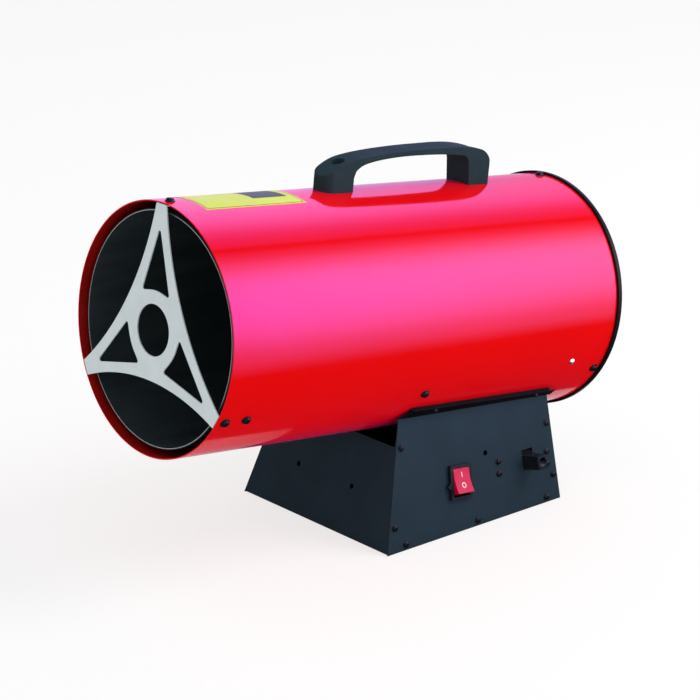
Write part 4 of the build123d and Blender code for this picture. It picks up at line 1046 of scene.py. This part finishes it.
# The share of the peak by the place along them
card_fades = (
    (-1.3, 0.1), (-0.1, 0.125), (0.15, 0.575), (0.33, 0.55),
    (0.59, 0.45), (0.73, 0.395), (0.9, 0.33), (1.4, 0.2),
)

flag_place, flag_size = (0.30, -0.13, 0.003), (0.52, 1.5)
flag_cast = (1, 0.78, 1)
flag_span, flag_glow = (0.35, 0.56), (0.04, 4.5)

key_place, key_aim = (1.4, 1.5, 2.1), (0, 0, 0.15)
key_size, key_energy = 1.6, 44

camera_place = (1.5593, -1.3962, 0.8368)
camera_line = (-0.7212, 0.6167, -0.3156)
camera_lens, camera_sensor = 125.2, 36


def glow(name, colour):
    """Finish that gives light of its own; comes with its tree and its light's node."""
    finish = bpy.data.materials.new(name)
    finish.use_nodes = True
    tree = finish.node_tree
    tree.nodes.remove(tree.nodes["Principled BSDF"])
    light = tree.nodes.new("ShaderNodeEmission")
    light.inputs["Color"].default_value = (*colour, 1)
    tree.links.new(light.outputs["Emission"], tree.nodes["Material Output"].inputs["Surface"])
    return finish, tree, light


def places_along(tree):
    """The three coordinates of a place in the scene."""
    places = tree.nodes.new("ShaderNodeTexCoord")
    split = tree.nodes.new("ShaderNodeSeparateXYZ")
    tree.links.new(places.outputs["Object"], split.inputs["Vector"])
    return split.outputs


def stage_piece(name, bm, finish):
    """Piece of the studio, which isn't a piece of the heater."""
    mesh = mesh_from(name, bm)
    mesh.materials.append(finish)
    piece = put_in_scene(name, mesh)
    return piece


def gloss_piece(name, bm, finish):
    """Stage piece that only shows in gloss: no camera, shadow or soft light meets it."""
    piece = stage_piece(name, bm, finish)
    piece.visible_camera = False
    piece.visible_shadow = False
    piece.visible_diffuse = False


floor = bmesh.new()
bmesh.ops.create_grid(floor, x_segments=1, y_segments=1, size=floor_size)
floor_paper, tree, light = glow("floor_paper", (1, 1, 1))
paper = tree.nodes.new("ShaderNodeBsdfDiffuse")
paper.inputs["Color"].default_value = (floor_albedo,) * 3 + (1,)
path = tree.nodes.new("ShaderNodeLightPath")
share = add_maths(tree, "MULTIPLY", path.outputs["Is Camera Ray"], floor_glow)
blend = tree.nodes.new("ShaderNodeMixShader")
tree.links.new(share, blend.inputs["Fac"])
tree.links.new(paper.outputs["BSDF"], blend.inputs[1])
tree.links.new(light.outputs["Emission"], blend.inputs[2])
tree.links.new(blend.outputs["Shader"], tree.nodes["Material Output"].inputs["Surface"])
stage_piece("floor", floor, floor_paper)


def share_of(place, low, high):
    """Where the place lies between low and high, from 0 to 1."""
    return (place - low) / (high - low)


# Long studio cards bent over the tube, which make the bands of light on its paint
main_card, tree, light = glow("main_card", (1, 1, 1))
across, along, up = places_along(tree)
angle = add_maths(tree, "ARCTAN2", add_maths(tree, "SUBTRACT", up, card_middle), across)
turned_share = add_range(tree, angle, (radians(card_low), radians(card_high)))
along_share = add_range(tree, along, (card_front, card_rear))
steps = [(share_of(at, card_low, card_high), (level,) * 3) for at, level in card_steps]
casts = [(share_of(at, card_low, card_high), cast) for at, cast in card_casts]
fades = [(share_of(at, card_front, card_rear), (level,) * 3) for at, level in card_fades]
brightness = add_ramp(tree, turned_share, steps)
faded = add_maths(tree, "MULTIPLY", brightness, add_ramp(tree, along_share, fades))
lifted = add_maths(tree, "MULTIPLY", faded, card_peak)
tree.links.new(add_ramp(tree, turned_share, casts), light.inputs["Color"])
tree.links.new(lifted, light.inputs["Strength"])
for name, front, low, high in (
    ("main_card_sheet", card_front, card_low, card_fold),
    ("top_card_sheet", card_top_front, card_fold, card_high),
):
    card = bmesh.new()
    curved_sheet(card, card_radius, front, card_rear, low, high, 24)
    bmesh.ops.transform(card, matrix=Matrix.Translation((0, 0, card_middle)), verts=card.verts)
    gloss_piece(name, card, main_card)

# Dark sheet on the floor beside the base, growing lighter away from it until it meets the card
flag_paper, tree, light = glow("flag_paper", flag_cast)
grown = add_range(tree, places_along(tree)["X"], flag_span, flag_glow)
tree.links.new(grown, light.inputs["Strength"])
flag = bmesh.new()
bmesh.ops.create_grid(flag, x_segments=1, y_segments=1, size=0.5)
flag_lie = Matrix.Translation(flag_place) @ Matrix.Diagonal((*flag_size, 1, 1))
bmesh.ops.transform(flag, matrix=flag_lie, verts=flag.verts)
gloss_piece("flag", flag, flag_paper)

key = put_in_scene("key_lamp", bpy.data.lights.new("key_lamp", "AREA"))
key.data.shape = "DISK"
key.data.size = key_size
key.data.energy = key_energy
key.location = key_place
key.rotation_euler = (Vector(key_aim) - key.location).to_track_quat("-Z", "Y").to_euler()
key.visible_glossy = False

# The surroundings are plain white where the camera or a reflection sees them
world = bpy.data.worlds.new("studio")
bpy.context.scene.world = world
world.use_nodes = True
tree = world.node_tree
background = tree.nodes["Background"]
background.inputs["Color"].default_value = (1, 1, 1, 1)
path = tree.nodes.new("ShaderNodeLightPath").outputs
seen = add_maths(tree, "MAXIMUM", path["Is Camera Ray"], path["Is Glossy Ray"])
clear = add_maths(tree, "MAXIMUM", seen, path["Is Transmission Ray"])
bright = add_maths(tree, "MAXIMUM", clear, world_light)
tree.links.new(bright, background.inputs["Strength"])

camera = put_in_scene("camera", bpy.data.cameras.new("camera"))
camera.data.lens = camera_lens
camera.data.sensor_width = camera_sensor
camera.location = camera_place
camera.rotation_euler = Vector(camera_line).to_track_quat("-Z", "Y").to_euler()
bpy.context.scene.camera = camera
bpy.context.scene.view_settings.view_transform = "Standard"
